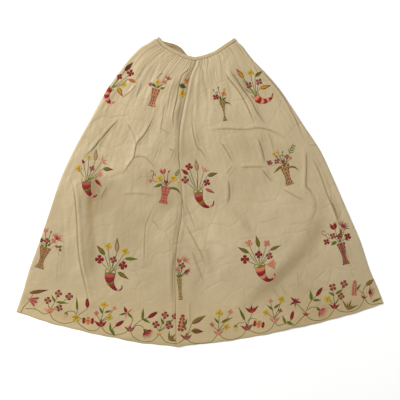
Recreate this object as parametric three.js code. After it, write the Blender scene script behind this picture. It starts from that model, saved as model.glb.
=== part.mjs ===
// A full gathered apron of embroidered silk, laid flat on a table.
// Two front widths and a back width are gathered into a narrow waistband that goes all round, so the
// apron is a flattened tube: the front lies on the back, and the front's sides turn down round it.
// Millimetres, +Z up. The surface that it lies on is z = 0, the waist is towards +Y, and the origin
// is the middle of the outline.
import * as THREE from "three";

// Cloth and seams.
const FRONT_WALL = 1.4; // gathered front cloth, measured straight up
const BACK_WALL = 1.2;
const SEAM_GAP = 0.3;
const BAND_WIDTH = 12;
const BAND_THICK = 3;
const LEFT_GATHERS = 14;
const RIGHT_GATHERS = 14;
const BACK_GATHERS = 24;
const COLUMNS_PER_GATHER = 4; // on the front
const BACK_COLUMNS_PER_GATHER = 3;

// How the side and hem of the front come down to the surface.
const SIDE_ROLL = 8;
const HEM_ROLL = 9;
const BACK_INSET = 9;
const BACK_HEM_INSET = 10;

// The lap in the middle: the right width lies over the left one.
const LAP_UNDER = 9; // how far the left width goes on under the right one
const LAP_LIFT = FRONT_WALL + 0.5; // the right width's height over the left one along the lap
const LAP_DIP = 1;
const LAP_REACH = 16; // how far from the lap its lift dies away

// Sections across the front, from the waist seam to the hem. down is the share of the way down.
// left, fold and right are where the left side, the lap's edge and the right side are.
// rise is the mean height of the cloth's face, gather the height of the gathers at each side of
// that, and swell the height of the broad soft folds that they open into.
const SECTIONS = [
  { down: 0.0, leftX: -147, leftY: 501, foldX: -12, foldY: 434, rightX: 121, rightY: 498, rise: 5.6, gather: 0.8, swell: 0.0 },
  { down: 0.02, leftX: -172, leftY: 491, foldX: -17, foldY: 416, rightX: 138, rightY: 484, rise: 6.9, gather: 1.7, swell: 0.2 },
  { down: 0.045, leftX: -198, leftY: 476, foldX: -27, foldY: 395, rightX: 153, rightY: 464, rise: 7.6, gather: 1.9, swell: 0.6 },
  { down: 0.08, leftX: -236, leftY: 437, foldX: -37, foldY: 363, rightX: 175, rightY: 436, rise: 7.5, gather: 1.6, swell: 1.0 },
  { down: 0.13, leftX: -272, leftY: 389, foldX: -44, foldY: 325, rightX: 216, rightY: 394, rise: 6.9, gather: 1.2, swell: 1.4 },
  { down: 0.185, leftX: -309, leftY: 337, foldX: -54, foldY: 281, rightX: 264, rightY: 337, rise: 6.2, gather: 0.8, swell: 1.6 },
  { down: 0.285, leftX: -363, leftY: 238, foldX: -67, foldY: 201, rightX: 330, rightY: 238, rise: 5.2, gather: 0.45, swell: 1.5 },
  { down: 0.385, leftX: -417, leftY: 139, foldX: -69, foldY: 112, rightX: 396, rightY: 139, rise: 4.6, gather: 0.2, swell: 1.2 },
  { down: 0.485, leftX: -462, leftY: 40, foldX: -61, foldY: 22, rightX: 442, rightY: 40, rise: 4.2, gather: 0.1, swell: 1.0 },
  { down: 0.585, leftX: -495, leftY: -59, foldX: -60, foldY: -71, rightX: 485, rightY: -59, rise: 4.0, gather: 0.0, swell: 0.9 },
  { down: 0.69, leftX: -528, leftY: -158, foldX: -75, foldY: -167, rightX: 528, rightY: -158, rise: 3.8, gather: 0.0, swell: 0.8 },
  { down: 0.795, leftX: -564, leftY: -257, foldX: -82, foldY: -267, rightX: 561, rightY: -257, rise: 3.7, gather: 0.0, swell: 0.7 },
  { down: 0.9, leftX: -584, leftY: -327, foldX: -80, foldY: -388, rightX: 586, rightY: -314, rise: 3.5, gather: 0.0, swell: 0.5 },
  { down: 1.0, leftX: -607, leftY: -396, foldX: -78, foldY: -511, rightX: 607, rightY: -370, rise: 3.4, gather: 0.0, swell: 0.3 },
];

// The waist seams, where the gathers go into the waistband, from left to right. The back one's
// ends are the top corners of the back width.
const FRONT_SEAM = [
  { x: -147, y: 501 },
  { x: -117, y: 475 },
  { x: -78, y: 454 },
  { x: -46, y: 440 },
  { x: -16, y: 434 },
  { x: 23, y: 443 },
  { x: 58, y: 457 },
  { x: 89, y: 478 },
  { x: 121, y: 498 },
];
const BACK_SEAM = [
  { x: -112, y: 483 },
  { x: -88, y: 477 },
  { x: -69, y: 466 },
  { x: -56, y: 450 },
  { x: -36, y: 434 },
  { x: -10, y: 427 },
  { x: 24, y: 436 },
  { x: 69, y: 456 },
];

// How far the hem bows below the straight line from its corner to the lap.
const HEM_BOW = { left: 17, right: 21 };

// The largest folds. Each runs from one point to the next, half as wide as width says at each side,
// and stands height over the cloth, or lies under it where that is negative.
const FOLDS = [
  { along: [[-412, 20], [-400, -95], [-396, -200], [-360, -400]], width: 34, height: 2.6 },
  { along: [[-375, -20], [-352, -120], [-345, -210]], width: 60, height: -1.2 },
  { along: [[225, 375], [290, 270], [340, 165], [353, 60], [372, 10]], width: 40, height: 2.8 },
  { along: [[372, 10], [385, -60], [350, -190], [260, -325]], width: 70, height: -1.6 },
  { along: [[-52, -95], [0, -200], [24, -250]], width: 44, height: 2.0 },
  { along: [[-155, 240], [-205, 160], [-216, 110], [-262, 50]], width: 36, height: 1.6 },
  { along: [[-270, 236], [-378, 114]], width: 36, height: 1.6 },
  { along: [[23, 200], [78, 207], [190, 209], [300, 165]], width: 40, height: 1.4 },
  { along: [[110, 380], [168, 300], [225, 214]], width: 34, height: 1.8 },
  { along: [[-163, -85], [-180, -140], [-184, -250]], width: 36, height: 1.4 },
];

const CLOTH_COLOUR = new THREE.Color().setRGB(0.74, 0.66, 0.5, THREE.SRGBColorSpace);
const BAND_COLOUR = new THREE.Color().setRGB(0.76, 0.68, 0.51, THREE.SRGBColorSpace);

const silk = new THREE.MeshStandardMaterial({ color: CLOTH_COLOUR, roughness: 0.62, metalness: 0 });
const bandSilk = new THREE.MeshStandardMaterial({ color: BAND_COLOUR, roughness: 0.66, metalness: 0 });

const mix = (a, b, share) => a + (b - a) * share;
const clamp01 = (value) => Math.min(1, Math.max(0, value));

// A smooth curve through a table's column, as a function of another column that rises.
function smoothColumn(rows, along, column) {
  const at = rows.map((row) => row[along]);
  const value = rows.map((row) => row[column]);
  const last = rows.length - 1;
  const slope = rows.map((row, i) => {
    const before = Math.max(0, i - 1);
    const after = Math.min(last, i + 1);
    return (value[after] - value[before]) / (at[after] - at[before]);
  });
  return (place) => {
    let i = 0;
    while (i < last - 1 && place > at[i + 1]) i += 1;
    const span = at[i + 1] - at[i];
    const s = clamp01((place - at[i]) / span);
    const rest = 1 - s;
    return (
      value[i] * rest * rest * (1 + 2 * s) +
      slope[i] * span * s * rest * rest +
      value[i + 1] * s * s * (3 - 2 * s) -
      slope[i + 1] * span * s * s * rest
    );
  };
}

// A smooth plane curve through points, as a function of the share of its length from 0 to 1.
function curveThrough(points) {
  let run = 0;
  const rows = points.map((point, i) => {
    if (i > 0) run += Math.hypot(point.x - points[i - 1].x, point.y - points[i - 1].y);
    return { run, x: point.x, y: point.y };
  });
  const x = smoothColumn(rows, "run", "x");
  const y = smoothColumn(rows, "run", "y");
  return (share) => new THREE.Vector2(x(share * run), y(share * run));
}

// The named column pair of SECTIONS as a plane curve down the apron.
function sideCurve(side) {
  const x = smoothColumn(SECTIONS, "down", `${side}X`);
  const y = smoothColumn(SECTIONS, "down", `${side}Y`);
  return (down) => new THREE.Vector2(x(down), y(down));
}

const leftSide = sideCurve("left");
const foldLine = sideCurve("fold");
const rightSide = sideCurve("right");
const riseAt = smoothColumn(SECTIONS, "down", "rise");
const gatherAt = smoothColumn(SECTIONS, "down", "gather");
const swellAt = smoothColumn(SECTIONS, "down", "swell");
const frontSeam = curveThrough(FRONT_SEAM);

// The share of the front seam's length at which the lap begins.
const LAP_SHARE = 0.508;

// A point of a four-sided patch: its sides, its top and its bottom are blended, and what they
// count twice at the corners is taken off.
function patchPoint(patch, across, down) {
  const first = patch.first(down);
  const second = patch.second(down);
  const topLine = new THREE.Vector2().lerpVectors(patch.first(0), patch.second(0), across);
  const hemLine = new THREE.Vector2().lerpVectors(patch.first(1), patch.second(1), across);
  const top = patch.top(across).sub(topLine).multiplyScalar(1 - down);
  const hem = patch.hem(across).sub(hemLine).multiplyScalar(down);
  return new THREE.Vector2().lerpVectors(first, second, across).add(top).add(hem);
}

// The straight line from one hem corner to the other, bowed down by a parabola.
function hemCurve(first, second, bow) {
  return (across) => {
    const point = new THREE.Vector2().lerpVectors(first(1), second(1), across);
    point.y -= bow * 4 * across * (1 - across);
    return point;
  };
}

const leftPatch = {
  first: leftSide,
  second: foldLine,
  top: (across) => frontSeam(across * LAP_SHARE),
  hem: hemCurve(leftSide, foldLine, HEM_BOW.left),
};
const rightPatch = {
  first: foldLine,
  second: rightSide,
  top: (across) => frontSeam(mix(LAP_SHARE, 1, across)),
  hem: hemCurve(foldLine, rightSide, HEM_BOW.right),
};

// How near a point is to a line of points, as 1 on it and 0 half a width away, in a smooth bell.
function foldBell(fold, x, y) {
  let nearest = Infinity;
  const point = new THREE.Vector2(x, y);
  for (let i = 1; i < fold.along.length; i += 1) {
    const start = new THREE.Vector2(...fold.along[i - 1]);
    const run = new THREE.Vector2(...fold.along[i]).sub(start);
    const share = clamp01(point.clone().sub(start).dot(run) / run.lengthSq());
    nearest = Math.min(nearest, point.distanceTo(start.addScaledVector(run, share)));
  }
  const away = clamp01(nearest / fold.width);
  return (1 - away * away) ** 2;
}

const foldHeight = (x, y) => FOLDS.reduce((sum, fold) => sum + fold.height * foldBell(fold, x, y), 0);

// A quarter round from 0 at an edge to 1 at a distance of reach from it.
function rollShare(distance, reach) {
  const away = 1 - clamp01(distance / reach);
  return Math.sqrt(1 - away * away);
}

// Gathers are uneven: each is moved a little sideways, and is a little higher or lower.
const gatherPlace = (share) =>
  share + 0.006 * Math.sin(9.1 * share * Math.PI) + 0.004 * Math.sin(23 * share * Math.PI);
const gatherWave = (share, count) =>
  Math.cos(2 * Math.PI * count * share) * (0.8 + 0.2 * Math.sin(17 * share + 1.3));
const swellWave = (share, count) =>
  Math.sin((2 * Math.PI * count * share) / 4.3 + 0.6) + 0.5 * Math.sin((2 * Math.PI * count * share) / 2.6);

// The height of the cloth's face in the open part of a front width.
function openHeight(point, share, down, gathers) {
  return (
    riseAt(down) +
    gatherAt(down) * gatherWave(share, gathers) +
    swellAt(down) * swellWave(share, gathers) +
    foldHeight(point.x, point.y)
  );
}

// The lowest that the front's face may lie: its own wall over the back width.
const LOWEST_FACE = BACK_WALL + SEAM_GAP + FRONT_WALL + 0.1;
const lapFace = (down) => Math.max(LOWEST_FACE, riseAt(down) - LAP_DIP);

// The rows of the front's grids: close together under the band and at the hem.
function frontRows(count) {
  const rows = [];
  for (let i = 0; i <= count; i += 1) rows.push((i / count) ** 1.55 * 0.985);
  rows.push(0.9925, 0.997, 1);
  return rows;
}

// The face of a front width, as rows of points. lap is +1 where the width ends under the lap at
// its second side, and -1 where it starts over the lap at its first side.
function frontFace(patch, gathers, lap) {
  const count = gathers * COLUMNS_PER_GATHER;
  return frontRows(20).map((down) => {
    const length = patch.first(down).distanceTo(patch.second(down));
    const hemDistance = (1 - down) * 950;
    const row = [];
    const addPoint = (across, share, sideDistance, lapDistance) => {
      const point = patchPoint(patch, across, down);
      let height = openHeight(point, share, down, gathers);
      const flat = lap > 0 ? lapFace(down) : lapFace(down) + LAP_LIFT;
      const level = lap > 0 ? lapDistance : Math.max(0, lapDistance - LAP_UNDER - 2);
      const nearLap = lapDistance <= 0 ? 1 : Math.exp(-((level / LAP_REACH) ** 2));
      height = Math.max(LOWEST_FACE, mix(height, flat, nearLap));
      const roll = rollShare(sideDistance, SIDE_ROLL) * rollShare(hemDistance, HEM_ROLL);
      const resting = lap < 0 && nearLap > 0.5 ? FRONT_WALL + LAP_LIFT * nearLap : FRONT_WALL;
      row.push(new THREE.Vector3(point.x, point.y, mix(Math.min(resting, height), height, roll)));
    };
    const edgeColumns = [0, 1.5, 4];
    const lapColumns = [0, LAP_UNDER / 2, LAP_UNDER + 1];
    const edge = SIDE_ROLL / length;
    const inner = (LAP_UNDER + 3) / length;
    if (lap > 0) {
      edgeColumns.forEach((d) => addPoint(d / length, 0, d, length));
      for (let i = 0; i <= count; i += 1) {
        const across = mix(edge, 1, gatherPlace(i / count) / gatherPlace(1));
        addPoint(across, i / count, across * length, (1 - across) * length);
      }
      [0.5, 1].forEach((part) => addPoint(1 + (LAP_UNDER * part) / length, 1, length, 0));
    } else {
      lapColumns.forEach((d) => addPoint(d / length, 0, length, d));
      for (let i = 0; i <= count; i += 1) {
        const across = mix(inner, 1 - edge, gatherPlace(i / count) / gatherPlace(1));
        addPoint(across, i / count, (1 - across) * length, across * length);
      }
      [...edgeColumns].reverse().forEach((d) => addPoint(1 - d / length, 1, d, length));
    }
    return row;
  });
}

// The side curve moved towards the middle of the apron, square to itself.
function insetSide(side, inward) {
  const step = 0.004;
  return (down) => {
    const shortened = down * (1 - BACK_HEM_INSET / 950);
    const point = side(shortened);
    const ahead = side(Math.min(1, shortened + step)).sub(side(Math.max(0, shortened - step))).normalize();
    return point.add(new THREE.Vector2(-ahead.y, ahead.x).multiplyScalar(inward));
  };
}

const backLeftSide = insetSide(leftSide, BACK_INSET);
const backRightSide = insetSide(rightSide, -BACK_INSET);
const backSeam = curveThrough([backLeftSide(0), ...BACK_SEAM, backRightSide(0)]);

// The face of the back width. Its underside is the plane z = 0.
function backFace() {
  const first = backLeftSide;
  const second = backRightSide;
  const middle = foldLine(1 - BACK_HEM_INSET / 950);
  const hem = curveThrough(
    [0, 0.25, 0.5, 0.75, 1, 1.25, 1.5, 1.75, 2].map((place) => {
      const left = place <= 1;
      const patch = left ? leftPatch : rightPatch;
      const corner = left ? first(1) : second(1);
      const share = left ? place : 2 - place;
      const line = new THREE.Vector2().lerpVectors(corner, middle, share);
      line.y -= (patch === leftPatch ? HEM_BOW.left : HEM_BOW.right) * 4 * share * (1 - share);
      return { x: line.x, y: line.y };
    }),
  );
  const patch = { first, second, top: backSeam, hem };
  const count = BACK_GATHERS * BACK_COLUMNS_PER_GATHER;
  const rows = [0, 0.015, 0.04, 0.09, 0.17, 0.28, 0.42, 0.57, 0.72, 0.86, 1];
  return rows.map((down) => {
    const row = [];
    for (let i = 0; i <= count; i += 1) {
      const share = i / count;
      const point = patchPoint(patch, gatherPlace(share) / gatherPlace(1), down);
      const fade = Math.sin(Math.PI * share) ** 0.5 * Math.exp(-down / 0.035);
      const height = BACK_WALL + 0.75 * fade * (1 + gatherWave(share, BACK_GATHERS));
      row.push(new THREE.Vector3(point.x, point.y, height));
    }
    return row;
  });
}

// A closed wall from a face, given as rows of points, and an underside with the same rows.
function wallBetween(face, under) {
  const rows = face.length;
  const columns = face[0].length;
  const points = [...face.flat(), ...under.flat()];
  const positions = new Float32Array(points.flatMap((point) => point.toArray()));
  const at = (layer, row, column) => layer * rows * columns + row * columns + column;
  const index = [];
  const quad = (a, b, c, d) => index.push(a, b, c, a, c, d);
  for (let r = 0; r < rows - 1; r += 1) {
    for (let c = 0; c < columns - 1; c += 1) {
      quad(at(0, r, c), at(0, r + 1, c), at(0, r + 1, c + 1), at(0, r, c + 1));
      quad(at(1, r, c), at(1, r, c + 1), at(1, r + 1, c + 1), at(1, r + 1, c));
    }
    quad(at(0, r, 0), at(1, r, 0), at(1, r + 1, 0), at(0, r + 1, 0));
    quad(at(0, r + 1, columns - 1), at(1, r + 1, columns - 1), at(1, r, columns - 1), at(0, r, columns - 1));
  }
  for (let c = 0; c < columns - 1; c += 1) {
    quad(at(0, 0, c + 1), at(1, 0, c + 1), at(1, 0, c), at(0, 0, c));
    quad(at(0, rows - 1, c), at(1, rows - 1, c), at(1, rows - 1, c + 1), at(0, rows - 1, c + 1));
  }
  const geometry = new THREE.BufferGeometry();
  geometry.setAttribute("position", new THREE.BufferAttribute(positions, 3));
  geometry.setIndex(index);
  geometry.computeVertexNormals();
  return geometry;
}

const lowered = (face, depth) => face.map((row) => row.map((p) => new THREE.Vector3(p.x, p.y, p.z - depth)));
const onSurface = (face) => face.map((row) => row.map((p) => new THREE.Vector3(p.x, p.y, 0)));

// The waistband's section: a strip folded over the gathers, round at its fold. Each row is the
// distance out from the seam and the height over the band's underside.
function bandSection() {
  const round = BAND_THICK / 2;
  const section = [];
  section.push([SEAM_GAP, 0], [BAND_WIDTH * 0.5, 0]);
  for (let i = 0; i <= 4; i += 1) {
    const turn = -Math.PI / 2 + (i * Math.PI) / 4;
    section.push([BAND_WIDTH - round + round * Math.cos(turn), round + round * Math.sin(turn)]);
  }
  section.push([BAND_WIDTH * 0.5, BAND_THICK], [SEAM_GAP, BAND_THICK]);
  return section;
}

// A stretch of waistband along a seam, from one share of its length to another.
function bandGeometry(seam, from, to, steps, underside) {
  const section = bandSection();
  const sides = section.length;
  const positions = [];
  const index = [];
  for (let i = 0; i <= steps; i += 1) {
    const share = mix(from, to, i / steps);
    const point = seam(share);
    const ahead = seam(Math.min(1, share + 0.01)).sub(seam(Math.max(0, share - 0.01))).normalize();
    section.forEach(([out, up]) => {
      positions.push(point.x - ahead.y * out, point.y + ahead.x * out, underside + up);
    });
  }
  for (let i = 0; i < steps; i += 1) {
    for (let k = 0; k < sides; k += 1) {
      const a = i * sides + k;
      const b = i * sides + ((k + 1) % sides);
      index.push(a, b + sides, a + sides, a, b, b + sides);
    }
  }
  for (let k = 1; k < sides - 1; k += 1) {
    index.push(0, k + 1, k);
    index.push(steps * sides, steps * sides + k, steps * sides + k + 1);
  }
  const geometry = new THREE.BufferGeometry();
  geometry.setAttribute("position", new THREE.BufferAttribute(new Float32Array(positions), 3));
  geometry.setIndex(index);
  geometry.computeVertexNormals();
  return geometry;
}

// The front stretch of the band lies on the back one.
const FRONT_BAND_UNDERSIDE = BAND_THICK + SEAM_GAP;

const apron = new THREE.Group();

function addPiece(name, geometry, material) {
  const mesh = new THREE.Mesh(geometry, material);
  mesh.name = name;
  apron.add(mesh);
}

const backFacePoints = backFace();
const leftFacePoints = frontFace(leftPatch, LEFT_GATHERS, 1);
const rightFacePoints = frontFace(rightPatch, RIGHT_GATHERS, -1);

addPiece("back_width", wallBetween(backFacePoints, onSurface(backFacePoints)), silk);
addPiece("front_left_width", wallBetween(leftFacePoints, lowered(leftFacePoints, FRONT_WALL)), silk);
addPiece("front_right_width", wallBetween(rightFacePoints, lowered(rightFacePoints, FRONT_WALL)), silk);
addPiece("waistband_front", bandGeometry(frontSeam, 0, 1, 40, FRONT_BAND_UNDERSIDE), bandSilk);
addPiece("waistband_back", bandGeometry(backSeam, 0.02, 0.98, 40, 0), bandSilk);

export default apron;
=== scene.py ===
"""A full gathered apron of embroidered silk, laid flat on a pale table.

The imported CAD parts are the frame, and every piece here lies on them. Lengths are millimetres until
a mesh is made, which is in metres. Places on the cloth are read on an embroiderer's chart: its
squares are 3.3 mm, x runs to the right, y runs down, and square (200, 192) is the frame's origin.
"""

import logging
from dataclasses import dataclass, field
from enum import Enum
from typing import Callable, NamedTuple, Sequence

import bpy
import numpy as np
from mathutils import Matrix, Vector


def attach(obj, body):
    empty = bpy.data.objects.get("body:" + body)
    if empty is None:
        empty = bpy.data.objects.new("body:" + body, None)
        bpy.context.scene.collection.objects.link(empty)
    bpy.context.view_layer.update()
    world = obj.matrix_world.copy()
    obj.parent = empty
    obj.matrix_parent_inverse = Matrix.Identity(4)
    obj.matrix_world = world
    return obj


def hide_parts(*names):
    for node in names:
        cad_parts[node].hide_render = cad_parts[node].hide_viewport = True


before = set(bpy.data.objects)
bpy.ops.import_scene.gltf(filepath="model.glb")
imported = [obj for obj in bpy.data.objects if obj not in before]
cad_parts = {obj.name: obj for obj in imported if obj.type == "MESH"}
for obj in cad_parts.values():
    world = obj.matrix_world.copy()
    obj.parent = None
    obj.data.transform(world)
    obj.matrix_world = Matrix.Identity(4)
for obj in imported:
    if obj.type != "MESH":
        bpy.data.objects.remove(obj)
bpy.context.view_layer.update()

LOG = logging.getLogger("apron")
Array = np.ndarray
Pair = tuple[float, float]
Colour = tuple[float, float, float]
Line = Callable[[Array], Array]
Socket, Material, Object = bpy.types.NodeSocket, bpy.types.Material, bpy.types.Object

SQUARE = 3.3
CHART_ORIGIN = (200.0, 192.0)
METRES = 0.001
LEAST_HEIGHT = 0.05

FRONT_WALL = 1.4
BACK_WALL = 1.2
SEAM_GAP = 0.3
BAND_WIDTH = 12.0
BAND_THICK = 3.0
SIDE_ROLL = 8.0
HEM_ROLL = 9.0
BACK_INSET = 9.0
BACK_HEM_INSET = 10.0
LENGTH = 950.0
LAP_LIFT = FRONT_WALL + 0.5
LAP_SHARE = 0.508
LOWEST_FACE = BACK_WALL + SEAM_GAP + FRONT_WALL + 0.1
CREASE_GAIN = 1.35
WIDE_CREASE = 6.0
# The width of the brown line along narrow creases, and how far red, green and blue drop per unit of soil and painted
# shade.
CREASE_SOIL_AND_SHADE_WIDTH = 2.1
SOIL_AND_SHADE_BROWN = (0.34, 0.40, 0.50)
PROUD = 0.12
SUNK = 0.3


class Lap(Enum):
    """Which side of the lap down the middle a width of cloth lies on."""

    UNDER = "under"
    OVER = "over"


class Tone(NamedTuple):
    """A broad soft patch of painted shade on the chart, partly soil, or of painted light where the amount is below 0.
    """

    path: tuple[Pair, ...]
    width: float
    amount: float


class Section(NamedTuple):
    """A section across the front: the share of the way down, its three places and its rise."""

    down: float
    left_x: float
    left_y: float
    fold_x: float
    fold_y: float
    right_x: float
    right_y: float
    rise: float


SECTIONS = tuple(Section(*row) for row in (
    (0.0, -147, 501, -12, 434, 121, 498, 5.6), (0.02, -172, 491, -17, 416, 138, 484, 6.9),
    (0.045, -198, 476, -27, 395, 153, 464, 7.6), (0.08, -236, 437, -37, 363, 175, 436, 7.5),
    (0.13, -272, 389, -44, 325, 216, 394, 6.9), (0.185, -309, 337, -54, 281, 264, 337, 6.2),
    (0.285, -363, 238, -67, 201, 330, 238, 5.2), (0.385, -417, 139, -69, 112, 396, 139, 4.6),
    (0.485, -462, 40, -61, 22, 442, 40, 4.2), (0.585, -495, -59, -60, -71, 485, -59, 4.0),
    (0.69, -528, -158, -75, -167, 528, -158, 3.8), (0.795, -564, -257, -82, -267, 561, -257, 3.7),
    (0.9, -584, -327, -80, -388, 586, -314, 3.5), (1.0, -607, -396, -78, -511, 607, -370, 3.4),
))
FRONT_SEAM = (
    (-147, 501), (-117, 475), (-78, 454), (-46, 440), (-16, 434), (23, 443), (58, 457), (89, 478), (121, 498),
)
BACK_SEAM = ((-112, 483), (-88, 477), (-69, 466), (-56, 450), (-36, 434), (-10, 427), (24, 436), (69, 456))
HEM_BOW = {"left": 17.0, "right": 21.0}


class Crease(NamedTuple):
    """A crease on the chart: a narrow trough, and a soft ridge beside it.

    depth and width are the trough's, lift is the ridge's height, and spread is how far to the left
    of the path's direction the ridge's crest lies, or to the right where it is negative.
    """

    path: tuple[Pair, ...]
    depth: float
    width: float
    lift: float
    spread: float


CREASES = tuple(Crease(*row) for row in (
    # The narrow strip beside the lap.
    (((191.2, 59), (190.6, 68), (182.3, 76), (176.5, 101), (173.3, 119), (176.5, 134)), 1.8, 3.0, 1.8, 8),
    (((199, 60), (197, 90), (195, 122)), -1.6, 13, 0.0, 9),
    (((191.8, 118), (193.8, 134.6), (198.2, 148.6), (200.8, 150), (205.9, 158.8), (207.8, 165.2)), 1.3, 3, 1.3, 7),
    (((202, 58), (202.7, 67), (208.4, 101), (207, 127)), 1.3, 9, 0.8, 15),
    (((180, 150), (178.5, 158), (181, 170)), 1.0, 3, 1.2, 6),
    # Where the cloth was folded away.
    (((207, 132), (214.8, 130), (223.7, 129.2), (248, 129.7), (258, 128.2), (271, 130.8), (281, 135.9),
     (291, 142)), 1.1, 3, 1.1, 8),
    (((220, 141), (226.3, 150), (233.9, 164)), 1.3, 3, 1.2, 8), (((233.9, 165), (225.6, 175.4)), 1.2, 3, 0.9, 6),
    (((238.4, 167.8), (259.4, 167.1), (267, 168.4)), 1.1, 3, 1.1, 7),
    (((258, 137), (262, 148.6), (265.8, 164)), 1.5, 3, 1.7, -8), (((260.7, 130.8), (263.9, 143.5)), 0.8, 3, 0.6, 5),
    (((262, 169), (272.5, 182.5)), 1.5, 3, 1.2, 7),
    (((281.6, 188.2), (294.4, 195.8), (305.9, 201.6)), 1.0, 3, 1.0, 7),
    # Long folds that run down from the gathers on the right.
    (((227, 66), (235.2, 77.2), (242.9, 88.7), (251.8, 101.4), (256.9, 111.6), (268.4, 127)), 1.9, 3.2, 2.0, -8),
    (((223, 66), (227.6, 77.2), (237.8, 90), (245.4, 102.7), (253, 119.3), (257.5, 127.6)), 1.5, 3, 1.5, 6),
    (((256, 66), (262, 72), (271.8, 82), (284.3, 98), (290.9, 110), (296.5, 121), (303.9, 138.3),
     (306.8, 145)), 2.0, 3.4, 2.4, 9),
    (((310, 146), (317, 144.8)), 0.8, 3, 0.5, 5),
    (((306, 147), (307, 164.3), (306.6, 187.2), (310.4, 190.4), (313.7, 200)), 1.8, 3, 1.8, -8),
    (((309.8, 154.5), (317, 166.5), (322.4, 180), (328.8, 197.8), (335.2, 210.5), (339, 225.8)), 1.4, 3, 1.6, 8),
    (((298, 185), (307.1, 187.6), (314.8, 195.2), (316.7, 210.5), (311, 232), (305.9, 245)), 1.6, 6, 1.8, -16),
    (((326.6, 191), (336, 215), (341.4, 234), (350.7, 266), (352.7, 279)), 1.1, 3, 1.2, 6),
    (((331, 202), (338, 220.6)), 1.2, 3, 0.8, 5),
    # Broad soft forms of the right width.
    (((318, 205), (306, 240), (290, 268), (268, 292)), 3.0, 30, 0.0, 9),
    (((292, 200), (290, 225), (270, 252)), -2.6, 38, 0.0, 9), (((272, 287), (281, 300)), 0.7, 3, 0.5, 5),
    (((280, 283), (287, 297)), 0.7, 3, 0.6, 5), (((297, 270), (300, 288)), 0.6, 3, 0.5, 5),
    (((351.5, 271.5), (353.3, 277.6)), 0.7, 3, 0.4, 4),
    (((228.7, 178.6), (230, 195.2), (226.8, 206.7)), 1.7, 5, 1.0, -9), (((226, 207), (245, 235)), 1.2, 9, 0.7, 14),
    (((236, 200), (262, 232)), 1.1, 9, 0.7, 14), (((184.4, 222), (200.3, 251.4), (206.7, 266.7)), 1.1, 4, 1.3, -9),
    (((191.4, 248.9), (205.4, 285.9)), 0.8, 4, 0.8, -8), (((190, 300), (190.5, 326)), 0.7, 3, 0.5, -6),
    (((181.6, 196), (184, 212), (182.4, 224)), 1.0, 3, 1.5, -8),
    (((300, 96), (306, 118), (311, 140)), 1.1, 2.6, 1.0, 7), (((250, 56), (260, 78), (268, 96)), 0.8, 2.6, 0.7, 6),
    (((267, 130), (272, 142), (275, 156)), 0.7, 2.6, 0.5, -5),
    (((329, 190), (334, 205), (345, 236)), 1.2, 2.6, 0.9, 6), (((62, 238), (58, 262), (57, 288)), 0.5, 3, 0.4, 6),
    (((103, 140), (98, 152)), 0.6, 2.6, 0.5, -5), (((166, 100), (163, 118), (160, 136)), 0.7, 3, 0.7, -7),
    (((176.6, 76), (170, 96), (167, 116)), 0.8, 3, 0.8, 7), (((108, 186), (100, 200)), 0.7, 2.6, 0.5, -5),
    (((186, 205), (190.6, 216), (196.4, 232)), 1.0, 3, 1.1, 7),
    (((176.6, 246), (172.6, 270), (173.2, 312)), 0.9, 3, 0.9, -8),
    (((170.4, 232), (170, 262), (171, 284)), 0.6, 3, 0.6, 7),
    (((207, 215), (214, 250), (216, 290)), 0.9, 12, 0.6, 22),
    # The left width.
    (((154.4, 204.2), (149.3, 217), (145.5, 227), (144.2, 268)), 1.0, 3, 0.9, 8),
    (((151.8, 218.3), (160.8, 231)), 0.7, 3, 0.5, 6),
    (((68.7, 172), (73.8, 190), (76.3, 213), (77.6, 238.6), (79.5, 260), (84.2, 282), (91.9, 314)), 1.6, 3.4, 2.8, 9),
    (((62, 200), (64, 230), (66, 270)), 0.8, 8, 0.4, 12),
    (((121.4, 117), (105.7, 134), (95, 147), (82.3, 160.6)), 1.6, 2.8, 1.4, -7),
    (((155.5, 112), (152.9, 119.3), (145.2, 134), (137.4, 143.5), (135.4, 151), (134, 158), (128, 167),
     (120, 178)), 1.6, 2.6, 1.3, -7),
    (((125.3, 120.8), (129.3, 126.8), (134.4, 136.5), (136.6, 149)), 0.9, 3, 0.9, 9),
    (((131.7, 159.6), (138, 157), (145.2, 157.6), (150, 162), (157, 170)), 1.0, 2.6, 0.8, 7),
    (((159.2, 146.7), (154.1, 159.5)), 1.0, 3, 0.8, 6), (((168.2, 148), (174.5, 151.8)), 0.9, 3, 0.6, 5),
    (((174.5, 150.6), (171.4, 158.2)), 1.0, 3, 0.6, 5),
    (((137.6, 83.6), (131.2, 91.3), (122.2, 98.9)), 1.2, 3, 1.1, -7),
    (((142, 82), (140.2, 89), (136, 99)), 0.8, 3, 0.7, -6),
    (((119, 195.5), (138, 194), (157, 196.5)), 0.6, 4, 0.6, 9),
    (((100, 196), (108, 222), (104, 250)), 1.8, 26, 0.0, 9), (((92, 190), (93, 225), (98, 262)), 1.3, 14, 0.0, 9),
    (((150, 60), (139, 78), (122, 98)), 1.3, 8, 1.1, 12), (((160, 60), (150, 84), (140, 112)), 0.9, 7, 0.9, 12),
    (((160, 128), (166, 132), (169, 134)), 0.8, 3, 0.5, 5), (((177, 232), (175.5, 262), (175, 300)), -0.8, 8, 0.0, 9),
))


class Thread(Enum):
    """The embroidery silks, as screen colours."""

    CRIMSON = (134, 10, 14)
    DARK_RED = (92, 18, 18)
    ROSE = (148, 78, 62)
    PINK = (184, 122, 100)
    BUFF = (166, 122, 88)
    SALMON = (192, 118, 82)
    ORANGE = (176, 92, 34)
    GOLD = (166, 132, 22)
    YELLOW = (184, 156, 42)
    PALE = (192, 174, 106)
    GREEN = (96, 98, 12)
    DEEP_GREEN = (60, 60, 14)
    OLIVE = (102, 88, 28)
    BROWN = (108, 62, 36)
    MAUVE = (140, 76, 68)
    STEM = (76, 84, 34)
    SLATE = (92, 94, 76)

    def light(self) -> Array:
        """The silk's linear colour, a little deeper, as satin stitches shade each other."""
        return 0.86 * np.array(linear(*self.value))


T = Thread


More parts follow.
